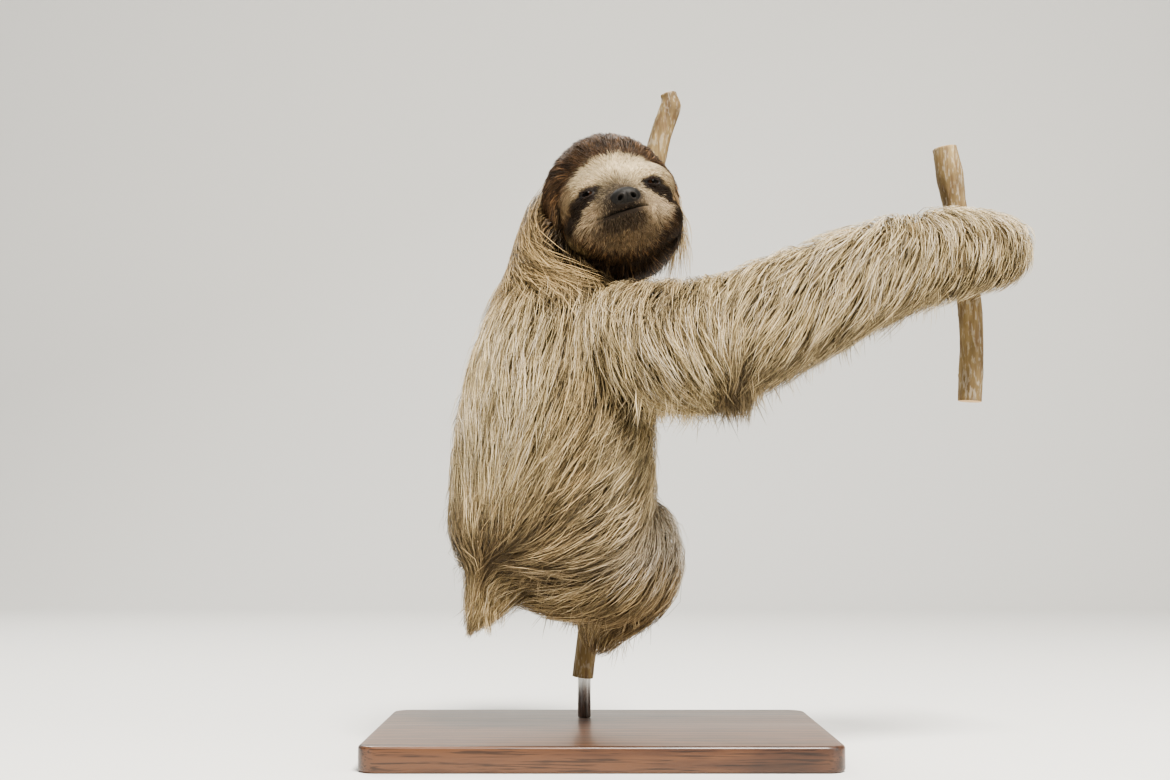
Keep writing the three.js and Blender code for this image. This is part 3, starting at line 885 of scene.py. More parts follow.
def markings(points):
    """The coat's colour at each point, as linear red, green and blue, with painted light and shade in it."""
    share = dict(zip(flesh_names, parts.at(points).T))
    tint = np.tile(np.array(straw[:3]), (len(points), 1))
    height = points[:, 2]
    outward = unit(slope.at(points))
    dorsal = ease_between(outward @ -belly_way, 0.45, 0.95) * share["trunk"] * ease_between(height, 150, 220)
    tint = lay_over(tint, pale_straw, 0.95 * dorsal)
    # The trunk below the shoulder is a duller tan: partly its own colour, partly painted shade from the arm
    # and the hair above.
    tint = lay_over(tint, trunk_tan_and_shade, 0.9 * share["trunk"] * (1 - dorsal) * fade_between(height, 285, 350))
    # Painted shade on the trunk under the long arm.
    shade_below_arm = hump(height, 236, 42) * ease_between(points[:, 0], -72, -32) * share["trunk"]
    tint = lay_over(tint, painted_shade_brown, 0.1 * shade_below_arm)
    by_belly = share["trunk"] * ease_between(points[:, 0], -25, 20) * ease_between(height, 130, 170)
    tint = lay_over(tint, pale_straw, 0.5 * by_belly * fade_between(height, 225, 262))
    low_trunk = share["trunk"] * fade_between(height, 115, 260)
    tint = lay_over(tint, brown_straw, 0.55 * low_trunk)
    # Painted shadow: dark brown low on the left of the trunk, above the tail.
    rump = hump(points[:, 0], -78, 36) * hump(height, 140, 26) * share["trunk"]
    tint = lay_over(tint, painted_shade_brown, 0.9 * rump)
    near_leg = share["right_thigh"] + share["right_shank"]
    leg = near_leg + share["left_thigh"] + share["left_shank"]
    tint = lay_over(tint, leg_grey, (0.35 * leg + 0.65 * near_leg) * ease_between(height, 115, 150))
    # Painted light: the near leg is made brighter towards the top of the knee.
    tint *= (1 + 0.25 * near_leg * ease_between(height, 125, 155))[:, None]
    tint = lay_over(tint, brown_straw, 0.8 * leg * fade_between(height, 105, 140))
    tint = lay_over(tint, mane_straw, share["neck"])
    # Painted shade: the neck is darkened under the mane.
    tint = lay_over(tint, painted_shade_brown, 0.3 * share["neck"])
    hand = share["right_hand"]
    arm = share["right_upper_arm"] + share["right_forearm"] + hand
    # The long arm's hair is pale straw. Painted light makes it paler and brighter towards the hand, and the
    # pale back is brightened as well.
    tint = lay_over(tint, pale_straw, arm * (0.65 + 0.35 * ease_between(points[:, 0], 90, 180)))
    tint *= (1 + 0.2 * arm * ease_between(points[:, 0], 150, 200) + 0.2 * dorsal)[:, None]
    # Painted shade on the arm's underside, deeper out towards the elbow.
    shade_beneath_arm = arm * ease_between(-outward[:, 2], 0.1, 0.8) * (0.4 + 0.6 * ease_between(points[:, 0], 50, 100))
    tint = lay_over(tint, painted_shade_brown, 0.6 * shade_beneath_arm)
    # Painted shade in the hollow under the elbow, where the hair meets in a V.
    notch = hump(points[:, 0], 92, 14) * hump(height, 260, 22) * arm
    tint = lay_over(tint, painted_shade_brown, 0.88 * notch)
    tint = lay_over(tint, brown_straw, 0.35 * hand * ease_between(points[:, 0], 270, 315))
    shoulder = hump(points[:, 0], 40, 40) * ease_between(height, 310, 332)
    tint = lay_over(tint, brown_straw, 0.6 * shoulder * share["right_upper_arm"])
    tint = tint * (1 + 0.10 * ripple(points, 55, 21) + 0.07 * ripple(points, 17, 22))[:, None]
    local = to_head(points)
    head = ease_between(share["head"] + share["nose"], 0.35, 0.65) * head_weight(local)
    from_middle = np.hypot(local[:, 0], local[:, 2] + 3)
    beside = fade_between(from_middle, 64, 74) * fade_between(local[:, 1], 22, 36)
    head = np.maximum(head, beside * share["neck"])
    tint = tint * (1 - head[:, None]) + face_marks(points) * head[:, None]
    tint = lay_over(tint, pad_black, bare_share(local) * head)
    return np.maximum(tint, 0)


def paint(piece, name, colours):
    """Stores a colour at every point of a piece, under a name its material reads."""
    layer = piece.data.attributes.new(name, "FLOAT_COLOR", "POINT")
    colours = colours / np.maximum(colours.max(1, keepdims=True), 1)
    opaque = np.column_stack([colours, np.ones(len(colours))])
    layer.data.foreach_set("color", opaque.astype(np.float32).ravel())


def store(piece, name, values):
    """Stores a number at every point of a piece, under a name its material reads."""
    layer = piece.data.attributes.new(name, "FLOAT", "POINT")
    layer.data.foreach_set("value", np.asarray(values, np.float32))


hide_skin, tree, shader = start_material("hide")
place = add_node(tree, "TexCoord").outputs["Object"]
tint = add_node(tree, "Attribute", attribute_name="markings").outputs["Color"]
bare = add_node(tree, "Attribute", attribute_name="bare").outputs["Fac"]
fluff = add_mottling(tree, place, 300.0, 1500.0)
under = mix_colours(tree, 1.0, tint, rgb(168, 160, 150), "MULTIPLY")
under = mix_colours(tree, calculate(tree, "MULTIPLY", fluff.outputs[1], 0.7), under, rgb(40, 30, 22))
leather = add_node(tree, "TexVoronoi", {"Vector": place, "Scale": 900.0}).outputs[0]
worn = mix_colours(tree, calculate(tree, "MULTIPLY", fluff.outputs[0], 0.2), tint, rgb(66, 60, 54))
tree.links.new(mix_colours(tree, bare, under, worn), shader.inputs["Base Color"])
spread_roughness(tree, shader, bare, 0.85, 0.62)
pile = calculate(tree, "MULTIPLY", fluff.outputs[1], calculate(tree, "SUBTRACT", 1.2, bare))
creases = calculate(tree, "MULTIPLY", calculate(tree, "MULTIPLY", leather, bare), 0.6)
add_relief(tree, shader, calculate(tree, "ADD", pile, creases), 0.6, 0.0004)
shader.inputs["Specular IOR Level"].default_value = 0.3

body = make_piece("hide_of_the_body", hide_points, [hide_quads], hide_skin)
refine(body.data)
body_points = carve_face(press_head(points_of(body.data)))
body.data.vertices.foreach_set("co", (body_points * 0.001).astype(np.float32).ravel())
body.data.shade_smooth()
body.data.update()
paint(body, "markings", markings(body_points))
store(body, "bare", bare_share(to_head(body_points)))
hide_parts(*flesh_names)

# ---- Eyes ------------------------------------------------------------------------------------------
# Polished glass eyes, almost black: a brown iris round the pupil, under a clear wet surface. Each is
# a whole ball set in its socket, and the hide's half-closed lids lie over it.

eye_sides, eye_rings = 48, 33
look_aside, look_up = 0.32, 0.02

eye_glass, tree, shader = start_material("eye glass")
gaze = add_node(tree, "Attribute", attribute_name="gaze").outputs["Fac"]
iris = colour_steps(tree, gaze, (0.13, rgb(4, 3, 2)), (0.18, rgb(40, 23, 12)), (0.33, rgb(26, 15, 9)),
                    (0.40, rgb(10, 7, 6)))
tree.links.new(iris, shader.inputs["Base Color"])
cloud = add_mottling(tree, add_node(tree, "TexCoord").outputs["Object"], 200.0, 900.0)
spread_roughness(tree, shader, cloud.outputs[0], 0.16, 0.24)
shader.inputs["IOR"].default_value = 1.15
shader.inputs["Coat Weight"].default_value = 0.02
shader.inputs["Coat Roughness"].default_value = 0.03

for side, spot in eye_spots.items():
    out = 1 if side == "left" else -1
    look = unit(head_left * look_aside * out - head_back + head_up * look_up)
    right_of_it = unit(np.cross(look, head_up))
    above_it = np.cross(right_of_it, look)
    polar = np.linspace(0, math.pi, eye_rings)[1:-1]
    turn = np.arange(eye_sides) * math.tau / eye_sides
    circle = np.cos(turn)[:, None] * right_of_it + np.sin(turn)[:, None] * above_it
    rings = look * np.cos(polar)[:, None, None] + circle * np.sin(polar)[:, None, None]
    ball = np.concatenate([rings.reshape(-1, 3), [look, -look]]) * eye_ball + spot
    step = np.arange(eye_sides)
    onward = (step + 1) % eye_sides
    tip, tail = len(ball) - 2, len(ball) - 1
    last = (len(polar) - 1) * eye_sides
    front_cap = np.stack([np.full(eye_sides, tip), onward, step], 1)
    rear_cap = np.stack([np.full(eye_sides, tail), last + step, last + onward], 1)
    eye_faces = [join_rings(len(polar), eye_sides), front_cap, rear_cap]
    eye = make_piece(side + "_eye", ball, eye_faces, eye_glass)
    store(eye, "gaze", np.concatenate([np.repeat(polar, eye_sides), [0, math.pi]]) / math.pi)
    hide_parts("eye_" + side)

# ---- Claws -----------------------------------------------------------------------------------------
# Three long curved claws on each hand and foot, of smooth yellow-brown horn with darker flecks. They
# are cast on their own, set into the toes and hooked over the stems.

claw_weld = 0.00002
claw_rounding = 2

horn, tree, shader = start_material("claw horn")
place = add_node(tree, "TexCoord").outputs["Object"]
cloud = add_mottling(tree, place, 90.0, 420.0)
horn_tone = colour_steps(tree, cloud.outputs[0], (0.3, rgb(118, 92, 58)), (0.55, rgb(168, 138, 94)),
                         (0.75, rgb(196, 172, 128)))
horn_flecks = calculate(tree, "MULTIPLY", cloud.outputs[1], 0.4)
flecked = mix_colours(tree, horn_flecks, horn_tone, rgb(92, 68, 42))
tree.links.new(flecked, shader.inputs["Base Color"])
add_relief(tree, shader, cloud.outputs[1], 0.25, 0.0003)
shader.inputs["Roughness"].default_value = 0.38

for node in sorted(name for name in nodes if "_claw_" in name):
    work = bmesh.new()
    work.from_mesh(nodes[node].data)
    bmesh.ops.remove_doubles(work, verts=work.verts, dist=claw_weld)
    mesh = bpy.data.meshes.new(node + "_horn")
    work.to_mesh(mesh)
    work.free()
    mesh.shade_smooth()
    mesh.materials.clear()
    mesh.materials.append(horn)
    claw = put_in_scene(node + "_horn", mesh)
    rounding = claw.modifiers.new("rounding", "SUBSURF")
    rounding.levels = claw_rounding
    rounding.render_levels = claw_rounding
    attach(claw, "root")
    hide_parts(node)

# ---- Coat ------------------------------------------------------------------------------------------
# Coarse straw-coloured hair in thousands of fine tapered locks, each a closed sliver rooted in the
# hide. It parts over the belly, runs round the flanks to the back and down, and hangs from the long
# arm to a point under the elbow.

hair_length = {"head": 40, "nose": 3, "neck": 54, "trunk": 62, "tail": 46,
               "right_upper_arm": 60, "right_forearm": 50, "right_hand": 30,
               "left_upper_arm": 60, "left_forearm": 46, "left_hand": 30,
               "right_thigh": 52, "right_shank": 44, "right_foot": 20,
               "left_thigh": 52, "left_shank": 44, "left_foot": 20}
# The under layer is painted darker than the top, as shade deep in the coat.
under_locks, under_width, under_shade = 0.09, 0.95, 0.5
top_locks, top_width, top_shade = 0.155, 0.48, 1.27
locks_in_clump = 8
stray_share = 0.06
lock_girths = (0.6, 1.25)
dark_share, darkened, lightened = 0.34, 0.33, 1.04
root_sunk, lock_wander = 0.6, 0.11
steepest = (-0.55, 0.85)
warm_gleam = np.array([1.0, 0.93, 0.82])
patch_size = 0.003


def turned_down(points, outward):
    """How the trunk's hair lies: from the belly round to the back, and more and more downward above."""
    side = -(belly_way - (outward @ belly_way)[:, None] * outward)
    drop = np.interp(points[:, 2], (125, 150, 200, 250, 300), (0.36, 0.53, 1.0, 1.7, 3.7))
    return unit(side + drop[:, None] * (0, 0, -1))


def along_arm(points, outward):
    """How the long arm's hair hangs: down, drawn together towards the point of the elbow."""
    reach = points[:, 0]
    lean = np.interp(reach, (0, 60, 86, 100, 180, 235, 285), (0.2, 0.42, 0.3, -0.42, -0.5, -0.28, -0.05))
    behind = ease_between(outward[:, 1], -0.2, 0.4)
    lean = lean * (1 - behind) + behind * np.interp(reach, (0, 100, 285), (0.05, -0.3, -0.15))
    over = ease_between(outward[:, 2], 0.1, 0.6)
    on_top = np.interp(reach, (0, 60, 110, 190, 222, 250, 300), (-0.6, -0.4, -0.7, -0.8, 0.0, 0.8, 1.1))
    lean = lean * (1 - over) + on_top * over
    return unit(np.column_stack([lean, -0.05 - 0.95 * over, -1 + 0.3 * over]))


def round_chin(points, outward):
    """How the mane lies: down the sides of the neck and forward under the chin."""
    forward = ease_between(-outward[:, 1], 0.1, 0.6) * ease_between(points[:, 0], -38, 10)
    below = fade_between(points[:, 2], 352, 385)
    across = 0.1 + 1.1 * forward * below
    return unit(np.column_stack([across, np.full(len(points), -0.1), np.full(len(points), -1.0)]))


def round_knee(points, outward):
    """How the near leg's hair lies: out over the knee, down its side, then back in under it."""
    across = np.interp(points[:, 2], (80, 115, 150, 175), (-1.0, -0.6, -0.2, 1.1))
    over = ease_between(outward[:, 2], 0.1, 0.6)
    return unit(np.column_stack([across, -0.1 - 0.7 * over, np.full(len(points), -0.8)]))


def down_tail(points, outward):
    """How the tail's hair lies: down to the tip, but with the trunk's hair where the tail leaves it."""
    above = ease_between(points[:, 2], 118, 146)[:, None]
    return unit(np.array([-0.25, -0.2, -0.95]) * (1 - above) + turned_down(points, outward) * above)


def straight(*way):
    """Hair that lies one way all over a part."""
    return lambda points, outward: np.tile(unit(np.array(way, float)), (len(points), 1))


lie_of = {"head": straight(0, 0.3, -1), "nose": straight(0, 0, 1), "neck": round_chin, "trunk": turned_down,
          "tail": down_tail,
          "right_upper_arm": along_arm, "right_forearm": along_arm, "right_hand": along_arm,
          "left_upper_arm": straight(-0.1, 0.25, -1), "left_forearm": straight(-0.1, 0.1, -1),
          "left_hand": straight(0, 0.1, -1),
          "right_thigh": round_knee, "right_shank": round_knee,
          "right_foot": straight(-0.2, 0, -1),
          "left_thigh": straight(-0.4, 0.1, -0.85), "left_shank": straight(-0.3, 0, -0.95),
          "left_foot": straight(-0.1, 0, -1)}

lattice_places = depth.places()
lattice_outward = unit(slope.at(lattice_places))
share_of = dict(zip(flesh_names, part_share.reshape(-1, len(flesh_names)).T))
lie_values = sum(share_of[name][:, None] * lie_of[name](lattice_places, lattice_outward)
                 for name in flesh_names)
lie = Field(coarse_step, soften(lie_values.reshape(*depth.count, 3), 1).astype(np.float32))
reach_values = soften(part_share @ np.array([hair_length[name] for name in flesh_names], np.float32), 1)
reach = Field(coarse_step, reach_values.astype(np.float32))

hide_triangles = halve(hide_quads)
triangle_points = hide_points[hide_triangles].astype(float)
triangle_middle = triangle_points.mean(1)
triangle_area = np.linalg.norm(np.cross(triangle_points[:, 1] - triangle_points[:, 0],
                                        triangle_points[:, 2] - triangle_points[:, 0]), axis=1) / 2
triangle_part = parts.at(triangle_middle).argmax(1)
triangle_head = to_head(triangle_middle)
on_head = (head_weight(triangle_head) > 0.2) & np.isin(triangle_part, head_parts)


def sow(chosen, count, random):
    """Roots spread evenly over some of the hide's triangles, with their triangle and place in it."""
    indices = np.flatnonzero(chosen)
    chance = triangle_area[indices] / triangle_area[indices].sum()
    picked = indices[random.choice(len(indices), count, p=chance)]
    first, second = random.random((2, count))
    over = first + second > 1
    first, second = np.where(over, 1 - first, first), np.where(over, 1 - second, second)
    shares = np.column_stack([1 - first - second, first, second])
    return picked, shares, (triangle_points[picked] * shares[:, :, None]).sum(1)


def unwrap(chosen):
    """An unwrap of the part of the hide that carries one piece of coat: the places of its corners."""
    mesh = bpy.data.meshes.new("unwrapping")
    corners, faces = np.unique(hide_triangles[chosen], return_inverse=True)
    mesh.from_pydata(hide_points[corners].tolist(), [], faces.reshape(-1, 3).tolist())
    cloth = put_in_scene("unwrapping", mesh)
    bpy.context.view_layer.objects.active = cloth
    bpy.ops.object.mode_set(mode="EDIT")
    bpy.ops.mesh.select_all(action="SELECT")
    bpy.ops.uv.smart_project(angle_limit=math.radians(66), island_margin=0.004)
    bpy.ops.object.mode_set(mode="OBJECT")
    spots = np.empty(len(mesh.loops) * 2, np.float32)
    mesh.uv_layers.active.data.foreach_get("uv", spots)
    bpy.data.objects.remove(cloth)
    bpy.data.meshes.remove(mesh)
    corner_spots = np.zeros((len(chosen), 3, 2), np.float32)
    corner_spots[chosen] = spots.reshape(-1, 3, 2)
    return corner_spots


def turn_along(flat, up, angle):
    """Directions along the hide, turned by an angle about the way out of it."""
    return flat * np.cos(angle)[:, None] + np.cross(up, flat) * np.sin(angle)[:, None]


def comb(roots, outward, lengths, layer, random, rings):
    """Lays each lock: up out of the hide to its own layer of the coat, then on along the lie."""
    steps = rings * 2
    heading = random.normal(0, lock_wander, len(roots))
    heading = heading + 0.13 * ripple(roots, 24, 31) + 0.12 * ripple(roots, 9, 32)
    swing = random.uniform(0.04, 0.22, len(roots))
    phase = random.uniform(0, math.tau, len(roots))
    turns = random.uniform(0.6, 1.4, len(roots))
    flick = random.normal(0, 0.22, len(roots))
    thickness = depth.at(roots)
    place = roots - outward * root_sunk
    line = [place]
    for k in range(1, steps + 1):
        share = k / steps
        up = unit(slope.at(place))
        way = lie.at(place)
        facing = np.einsum("ij,ij->i", way, up)
        flat = unit(way - facing[:, None] * up)
        angle = heading + swing * np.sin(turns * math.tau * share + phase) + flick * share ** 2
        flat = turn_along(flat, up, angle)
        target = -thickness * (1 - layer) + 7 * np.maximum(facing, 0) * layer * share
        climb = np.clip((target - outline.at(place)) / (lengths * 0.22), *steepest)
        onward = unit(flat * np.sqrt(1 - climb ** 2)[:, None] + up * climb[:, None])
        place = place + onward * (lengths / steps)[:, None]
        if k % 2 == 0:
            line.append(place)
    return np.stack(line, 1)


def nearest(places, points):
    """Which of some places is nearest to each point."""
    tree = kdtree.KDTree(len(places))
    for k, place in enumerate(places):
        tree.insert(place, k)
    tree.balance()
    return np.array([tree.find(point)[1] for point in points])


def gather(lines, roots, pull, random):
    """Draws the locks of each clump together towards their tips, and says which clump each is in."""
    count = max(int(len(roots) / locks_in_clump), 1)
    leaders = random.choice(len(roots), count, replace=False)
    clump = nearest(roots[leaders], roots)
    leader = leaders[clump]
    hold = random.uniform(*pull, count)[clump]
    share = np.linspace(0, 1, lines.shape[1])
    weight = hold[:, None] * share[None, :] ** 1.4
    spread = (roots - roots[leader])[:, None] * 0.22
    drawn = lines * (1 - weight[:, :, None]) + (lines[leader] + spread) * weight[:, :, None]
    return drawn, clump


def slivers(lines, outward, widths, spots, colours):
    """Closed three-sided slivers along the lines, thickest a third of the way up, pointed at the tip."""
    count, rings = lines.shape[0], lines.shape[1] - 1
    heading = unit(np.gradient(lines, axis=1))
    across = unit(np.cross(heading, outward[:, None]))
    raised = np.cross(across, heading)
    share = np.linspace(0, 1, rings + 1)[:-1]
    girth = np.interp(share, (0, 0.3, 0.65, 1), (0.6, 1.0, 0.85, 0.3))[None, :, None] * widths[:, None, None]
    body = lines[:, :-1]
    corners = [body + across[:, :-1] * girth * 0.5, body + raised[:, :-1] * girth * 0.55,
               body - across[:, :-1] * girth * 0.5]
    points = np.concatenate([np.stack(corners, 2).reshape(count, rings * 3, 3), lines[:, -1:]], 1)
    shape = [(0, 2, 1)]
    for k in range(rings - 1):
        for a, b in ((0, 1), (1, 2), (2, 0)):
            shape += [(3 * k + a, 3 * k + b, 3 * k + 3 + b), (3 * k + a, 3 * k + 3 + b, 3 * k + 3 + a)]
    last = 3 * (rings - 1)
    shape = np.array(shape + [(last + a, last + b, last + 3) for a, b in ((0, 1), (1, 2), (2, 0))])
    along = np.append(np.repeat(share, 3), 1.0)
    patch = np.append(np.tile((-0.5, 0.0, 0.5), rings), 0.0)
    offset = np.stack([patch, along - 0.5], 1) * patch_size
    bright = colours.max(1, keepdims=True)
    gleam = 0.6 * np.clip(bright - 1, 0, 1)
    colours = colours / np.maximum(bright, 1) * (1 - gleam) + warm_gleam * gleam
    return {"points": points.reshape(-1, 3),
            "faces": (shape[None] + np.arange(count)[:, None, None] * (rings * 3 + 1)).reshape(-1, 3),
            "along": np.tile(along, count),
            "spots": (spots[:, None, None] + offset[shape][None]).reshape(-1, 2),
            "colours": np.repeat(colours, rings * 3 + 1, axis=0)}


def join_slivers(name, batches):
    """One piece of coat from batches of slivers."""
    starts = np.cumsum([0] + [len(batch["points"]) for batch in batches])
    faces = np.concatenate([batch["faces"] + start for batch, start in zip(batches, starts)])
    points, along, colours, spots = [np.concatenate([batch[kind] for batch in batches])
                                     for kind in ("points", "along", "colours", "spots")]
    piece = make_piece(name, points, [faces], hair)
    store(piece, "along", along)
    paint(piece, "markings", colours)
    layer = piece.data.uv_layers.new(name="OFBake")
    layer.data.foreach_set("uv", spots.astype(np.float32).ravel())


hair, tree, shader = start_material("hair")
tint = add_node(tree, "Attribute", attribute_name="markings").outputs["Color"]
along = add_node(tree, "Attribute", attribute_name="along").outputs["Fac"]
place = add_node(tree, "TexCoord").outputs["Object"]
dust = add_mottling(tree, place, 60.0, 700.0)
# Painted shade: each lock darkens towards its root, as if shaded deep in the coat.
painted_root_shade = colour_steps(tree, along, (0.0, (0.14, 0.12, 0.095, 1)), (0.4, (0.58, 0.55, 0.5, 1)),
                          (0.8, (1.0, 1.0, 1.0, 1)))
shaded_tint = mix_colours(tree, 1.0, tint, painted_root_shade, "MULTIPLY")
patchy = mix_colours(tree, calculate(tree, "MULTIPLY", dust.outputs[1], 0.25), shaded_tint, rgb(92, 74, 52))
tree.links.new(patchy, shader.inputs["Base Color"])
spread_roughness(tree, shader, dust.outputs[0], 0.36, 0.52)
shader.inputs["Specular IOR Level"].default_value = 0.32


def shades(count, clump, random, spread):
    """A brightness for each lock: its clump's, and its own."""
    own = random.normal(0, spread, count)
    shared = random.normal(0, spread * 0.6, clump.max() + 1)[clump]
    return np.clip(np.exp(own + shared), 0.3, 2.1)


def grow_long(name, chosen, seed):
    """One piece of the long coat over some of the hide's triangles: under layers first, then the top."""
    random = np.random.default_rng(seed)
    corner_spots = unwrap(chosen)
    batches = []
    for rings, low, high, crowd, width, shade in ((2, 0.3, 0.8, under_locks, under_width, under_shade),
                                                  (4, 0.65, 1.2, top_locks, top_width, top_shade)):
        count = int(triangle_area[chosen].sum() * crowd)
        picked, shares, roots = sow(chosen, count, random)
        roots = press_head(roots)
        outward = unit(slope.at(roots))
        local = to_head(roots)
        by_face = (np.hypot(local[:, 0], local[:, 2] + 3) < 52) & (local[:, 1] < 26)
        lengths = reach.at(roots) * random.uniform(0.75, 1.15, count) * np.where(by_face, 0.5, 1)
        layer = random.uniform(low, high, count)
        stray = random.random(count) < stray_share
        layer = np.where(stray, layer + random.uniform(0.1, 0.6, count), layer)
        lines = comb(roots, outward, lengths, layer, random, rings)
        lines, clump = gather(lines, roots, (0.2, 0.85), random)
        widths = width * random.uniform(*lock_girths, count) * np.where(stray, 0.6, 1)
        spots = (corner_spots[picked] * shares[:, :, None]).sum(1)
        livelier = np.where(roots[:, 2] < 200, 1.35, 1.0)
        brightness = shade * shades(count, clump, random, 0.42) ** livelier
        brightness *= np.where(random.random(count) < dark_share, darkened, lightened)
        seen = np.where(by_face[:, None], lines[:, 1], lines[:, rings // 2])
        colours = markings(seen) * brightness[:, None]
        batch = slivers(lines, outward, widths, spots, colours)
        # Less painted root shade where the hide faces up or out to the right and the roots lie open.
        open_roots = 0.42 * ease_between(np.maximum(outward[:, 2], 0.9 * outward[:, 0]), 0.25, 0.8)
        batch["along"] = np.maximum(batch["along"], np.repeat(open_roots, rings * 3 + 1))
        batches.append(batch)
    join_slivers(name, batches)


trunk_back = slope.at(triangle_middle) @ belly_way < 0
of_part = {name: (triangle_part == k) & ~on_head for k, name in enumerate(flesh_names)}
beside_nape = (np.abs(triangle_head[:, 0]) > 40) & (triangle_head[:, 1] > 6)
nape = on_head & ((triangle_head[:, 1] > 14) | beside_nape)
of_part["neck"] |= of_part["head"] | of_part["nose"]
high = triangle_middle[:, 2] > 225
long_coat = {"coat_neck": of_part["neck"],
             "coat_nape": nape,
             "coat_upper_back": of_part["trunk"] & trunk_back & high,
             "coat_lower_back": of_part["trunk"] & trunk_back & ~high,
             "coat_upper_belly": of_part["trunk"] & ~trunk_back & high,
             "coat_lower_belly": of_part["trunk"] & ~trunk_back & ~high,
             "coat_right_upper_arm": of_part["right_upper_arm"],
             "coat_right_forearm": of_part["right_forearm"],
             "coat_right_hand": of_part["right_hand"],
             "coat_left_arm": of_part["left_upper_arm"] | of_part["left_forearm"] | of_part["left_hand"],
             "coat_right_leg": of_part["right_thigh"] | of_part["right_shank"] | of_part["right_foot"],
             "coat_left_leg": of_part["left_thigh"] | of_part["left_shank"] | of_part["left_foot"],
             "coat_tail": of_part["tail"]}
for seed, (name, chosen) in enumerate(long_coat.items()):
    grow_long(name, chosen, 100 + seed)

# ---- Coat of the head --------------------------------------------------------------------------------
# Close fine hair that fans out from above the nose, up over the brow and out over the cheeks, and
# grows longer and coarser over the crown, the sides and the throat.

fan_middle = np.array([0, -40, -4])
hairless = 0.35
grizzled_share = 0.21


def head_lie(local, outward):
    """How the head's hair lies, in its own axes: out from above the nose, then down the sides and back."""
    fan = unit(local - fan_middle)
    side = ease_between(np.abs(local[:, 0]), 27, 44)
    behind = ease_between(local[:, 1], 8, 34)
    way = fan + side[:, None] * 1.6 * np.array([0, 0.1, -1]) + behind[:, None] * 1.2 * np.array([0, 0.25, -1])
    return unit(way - np.einsum("ij,ij->i", way, outward)[:, None] * outward)


def head_slope(local):
    """The way out of the bare head."""
    nudge = 0.4
    away = [bare_head(local + nudge * axis) - bare_head(local - nudge * axis) for axis in np.eye(3)]
    return unit(np.stack(away, 1))


def grow_close(name, chosen, seed, count, wander, spread, rings, length_of, width, steepness, pull):
    """One piece of the head's close coat."""
    random = np.random.default_rng(seed)
    picked, shares, rough = sow(chosen, count, random)
    roots = carve_face(press_head(rough))
    local = to_head(roots)
    keep = bare_share(local) < hairless
    picked, shares, roots, local = picked[keep], shares[keep], roots[keep], local[keep]
    count = len(roots)
    outward = head_slope(local)
    lengths = length_of(local) * random.uniform(0.75, 1.2, count)
    flat = head_lie(local, outward)
    flat = turn_along(flat, outward, random.normal(0, wander, count) + 0.35 * ripple(local, 11, seed))
    lean = random.uniform(*steepness, count)
    share = np.linspace(0, 1, rings + 1)
    rise = (share - 0.42 * share ** 2)[None, :, None] * np.sin(lean)[:, None, None]
    run = (share + 0.12 * share ** 2)[None, :, None] * np.cos(lean)[:, None, None]
    bend = (share ** 2)[None, :, None] * (lengths / 95)[:, None, None]
    line = local[:, None] + lengths[:, None, None] * (run * flat[:, None] + (rise - bend) * outward[:, None])
    line = from_head(line - outward[:, None] * 0.3)
    line, clump = gather(line, from_head(local), pull, random)
    outward = outward @ head_axes
    spots = (unwrap(chosen)[picked] * shares[:, :, None]).sum(1)
    widths = width * random.uniform(*lock_girths, count)
    grizzled = np.where(local[:, 2] < -32, 4.6, 3.2)
    flecked = np.where(random.random(count) < grizzled_share, grizzled, 0.8)
    colours = markings(line[:, 0] + random.normal(0, 0.9, (count, 3)))
    dark = fade_between(colours.mean(1), 0.05, 0.3)[:, None]
    colours *= shades(count, clump, random, spread)[:, None] * (1 - dark + dark * flecked[:, None])
    join_slivers(name, [slivers(line, outward, widths, spots, colours)])


def face_length(local):
    """Shortest on the muzzle and round the eyes, longer out over the cheeks and brow."""
    snout = np.linalg.norm((local - np.array([0, -45, -17])) / (1, 1.3, 0.8), axis=1)
    eyes = np.minimum.reduce([np.linalg.norm(local - spot, axis=1) for spot in eye_local.values()])
    rim = ease_between(np.hypot(local[:, 0], local[:, 2] + 2), 20, 38)
    from_snout = 2.0 + 6.0 * ease_between(snout, 14, 40)
    from_eyes = 2.2 + 6.0 * ease_between(eyes, 7, 22)
    return np.minimum(from_snout, from_eyes) + 2.5 * rim + 5 * ease_between(local[:, 2], 16, 27)


def crown_length(local):
    """Longer over the crown and the back, longest down the sides."""
    side = ease_between(np.abs(local[:, 0]), 25, 42) + ease_between(local[:, 1], 5, 30)
    side += ease_between(-local[:, 2], 34, 48)
    return 16 + 11 * np.clip(side, 0, 1)


face_zone = on_head & (triangle_head[:, 1] < -6)
face_zone &= np.hypot(triangle_head[:, 0], triangle_head[:, 2] + 4) < 40
above_nose = triangle_head[:, 2] > -6
far_back = triangle_head[:, 1] > 12
face_hair = {"rings": 2, "length_of": face_length, "width": 0.36, "steepness": (0.25, 0.55),
             "pull": (0, 0.35)}
crown_hair = {"rings": 3, "length_of": crown_length, "width": 0.55, "steepness": (0.35, 0.75),
              "pull": (0.2, 0.85)}
grow_close("coat_brow", face_zone & above_nose, seed=201, count=13000,
           wander=0.16, spread=0.16, **face_hair)
grow_close("coat_cheeks", face_zone & ~above_nose, seed=203, count=14000,
           wander=0.2, spread=0.24, **face_hair)
grow_close("coat_crown", on_head & ~face_zone & ~far_back, seed=202, count=11500,
           wander=0.2, spread=0.6, **crown_hair)

# ---- Mane --------------------------------------------------------------------------------------------
# Long pale hair from behind the head: it hangs outside the rest down the near side of the neck and
# turns in under the chin, and a few thin strands hang free on the far side of the face.

mane_outer = np.array([(-36, 28, 430), (-52, 24, 403), (-59, 20, 374), (-71, 16, 345), (-86, 12, 310)], float)
mane_inner = np.array([(-44, 4, 416), (-50, -6, 394), (-50, -20, 370), (-36, -38, 348), (-2, -46, 330)],
                      float)
mane_knots = np.linspace(0, 1, 5)
strand_width, free_share = 0.42, 0.35


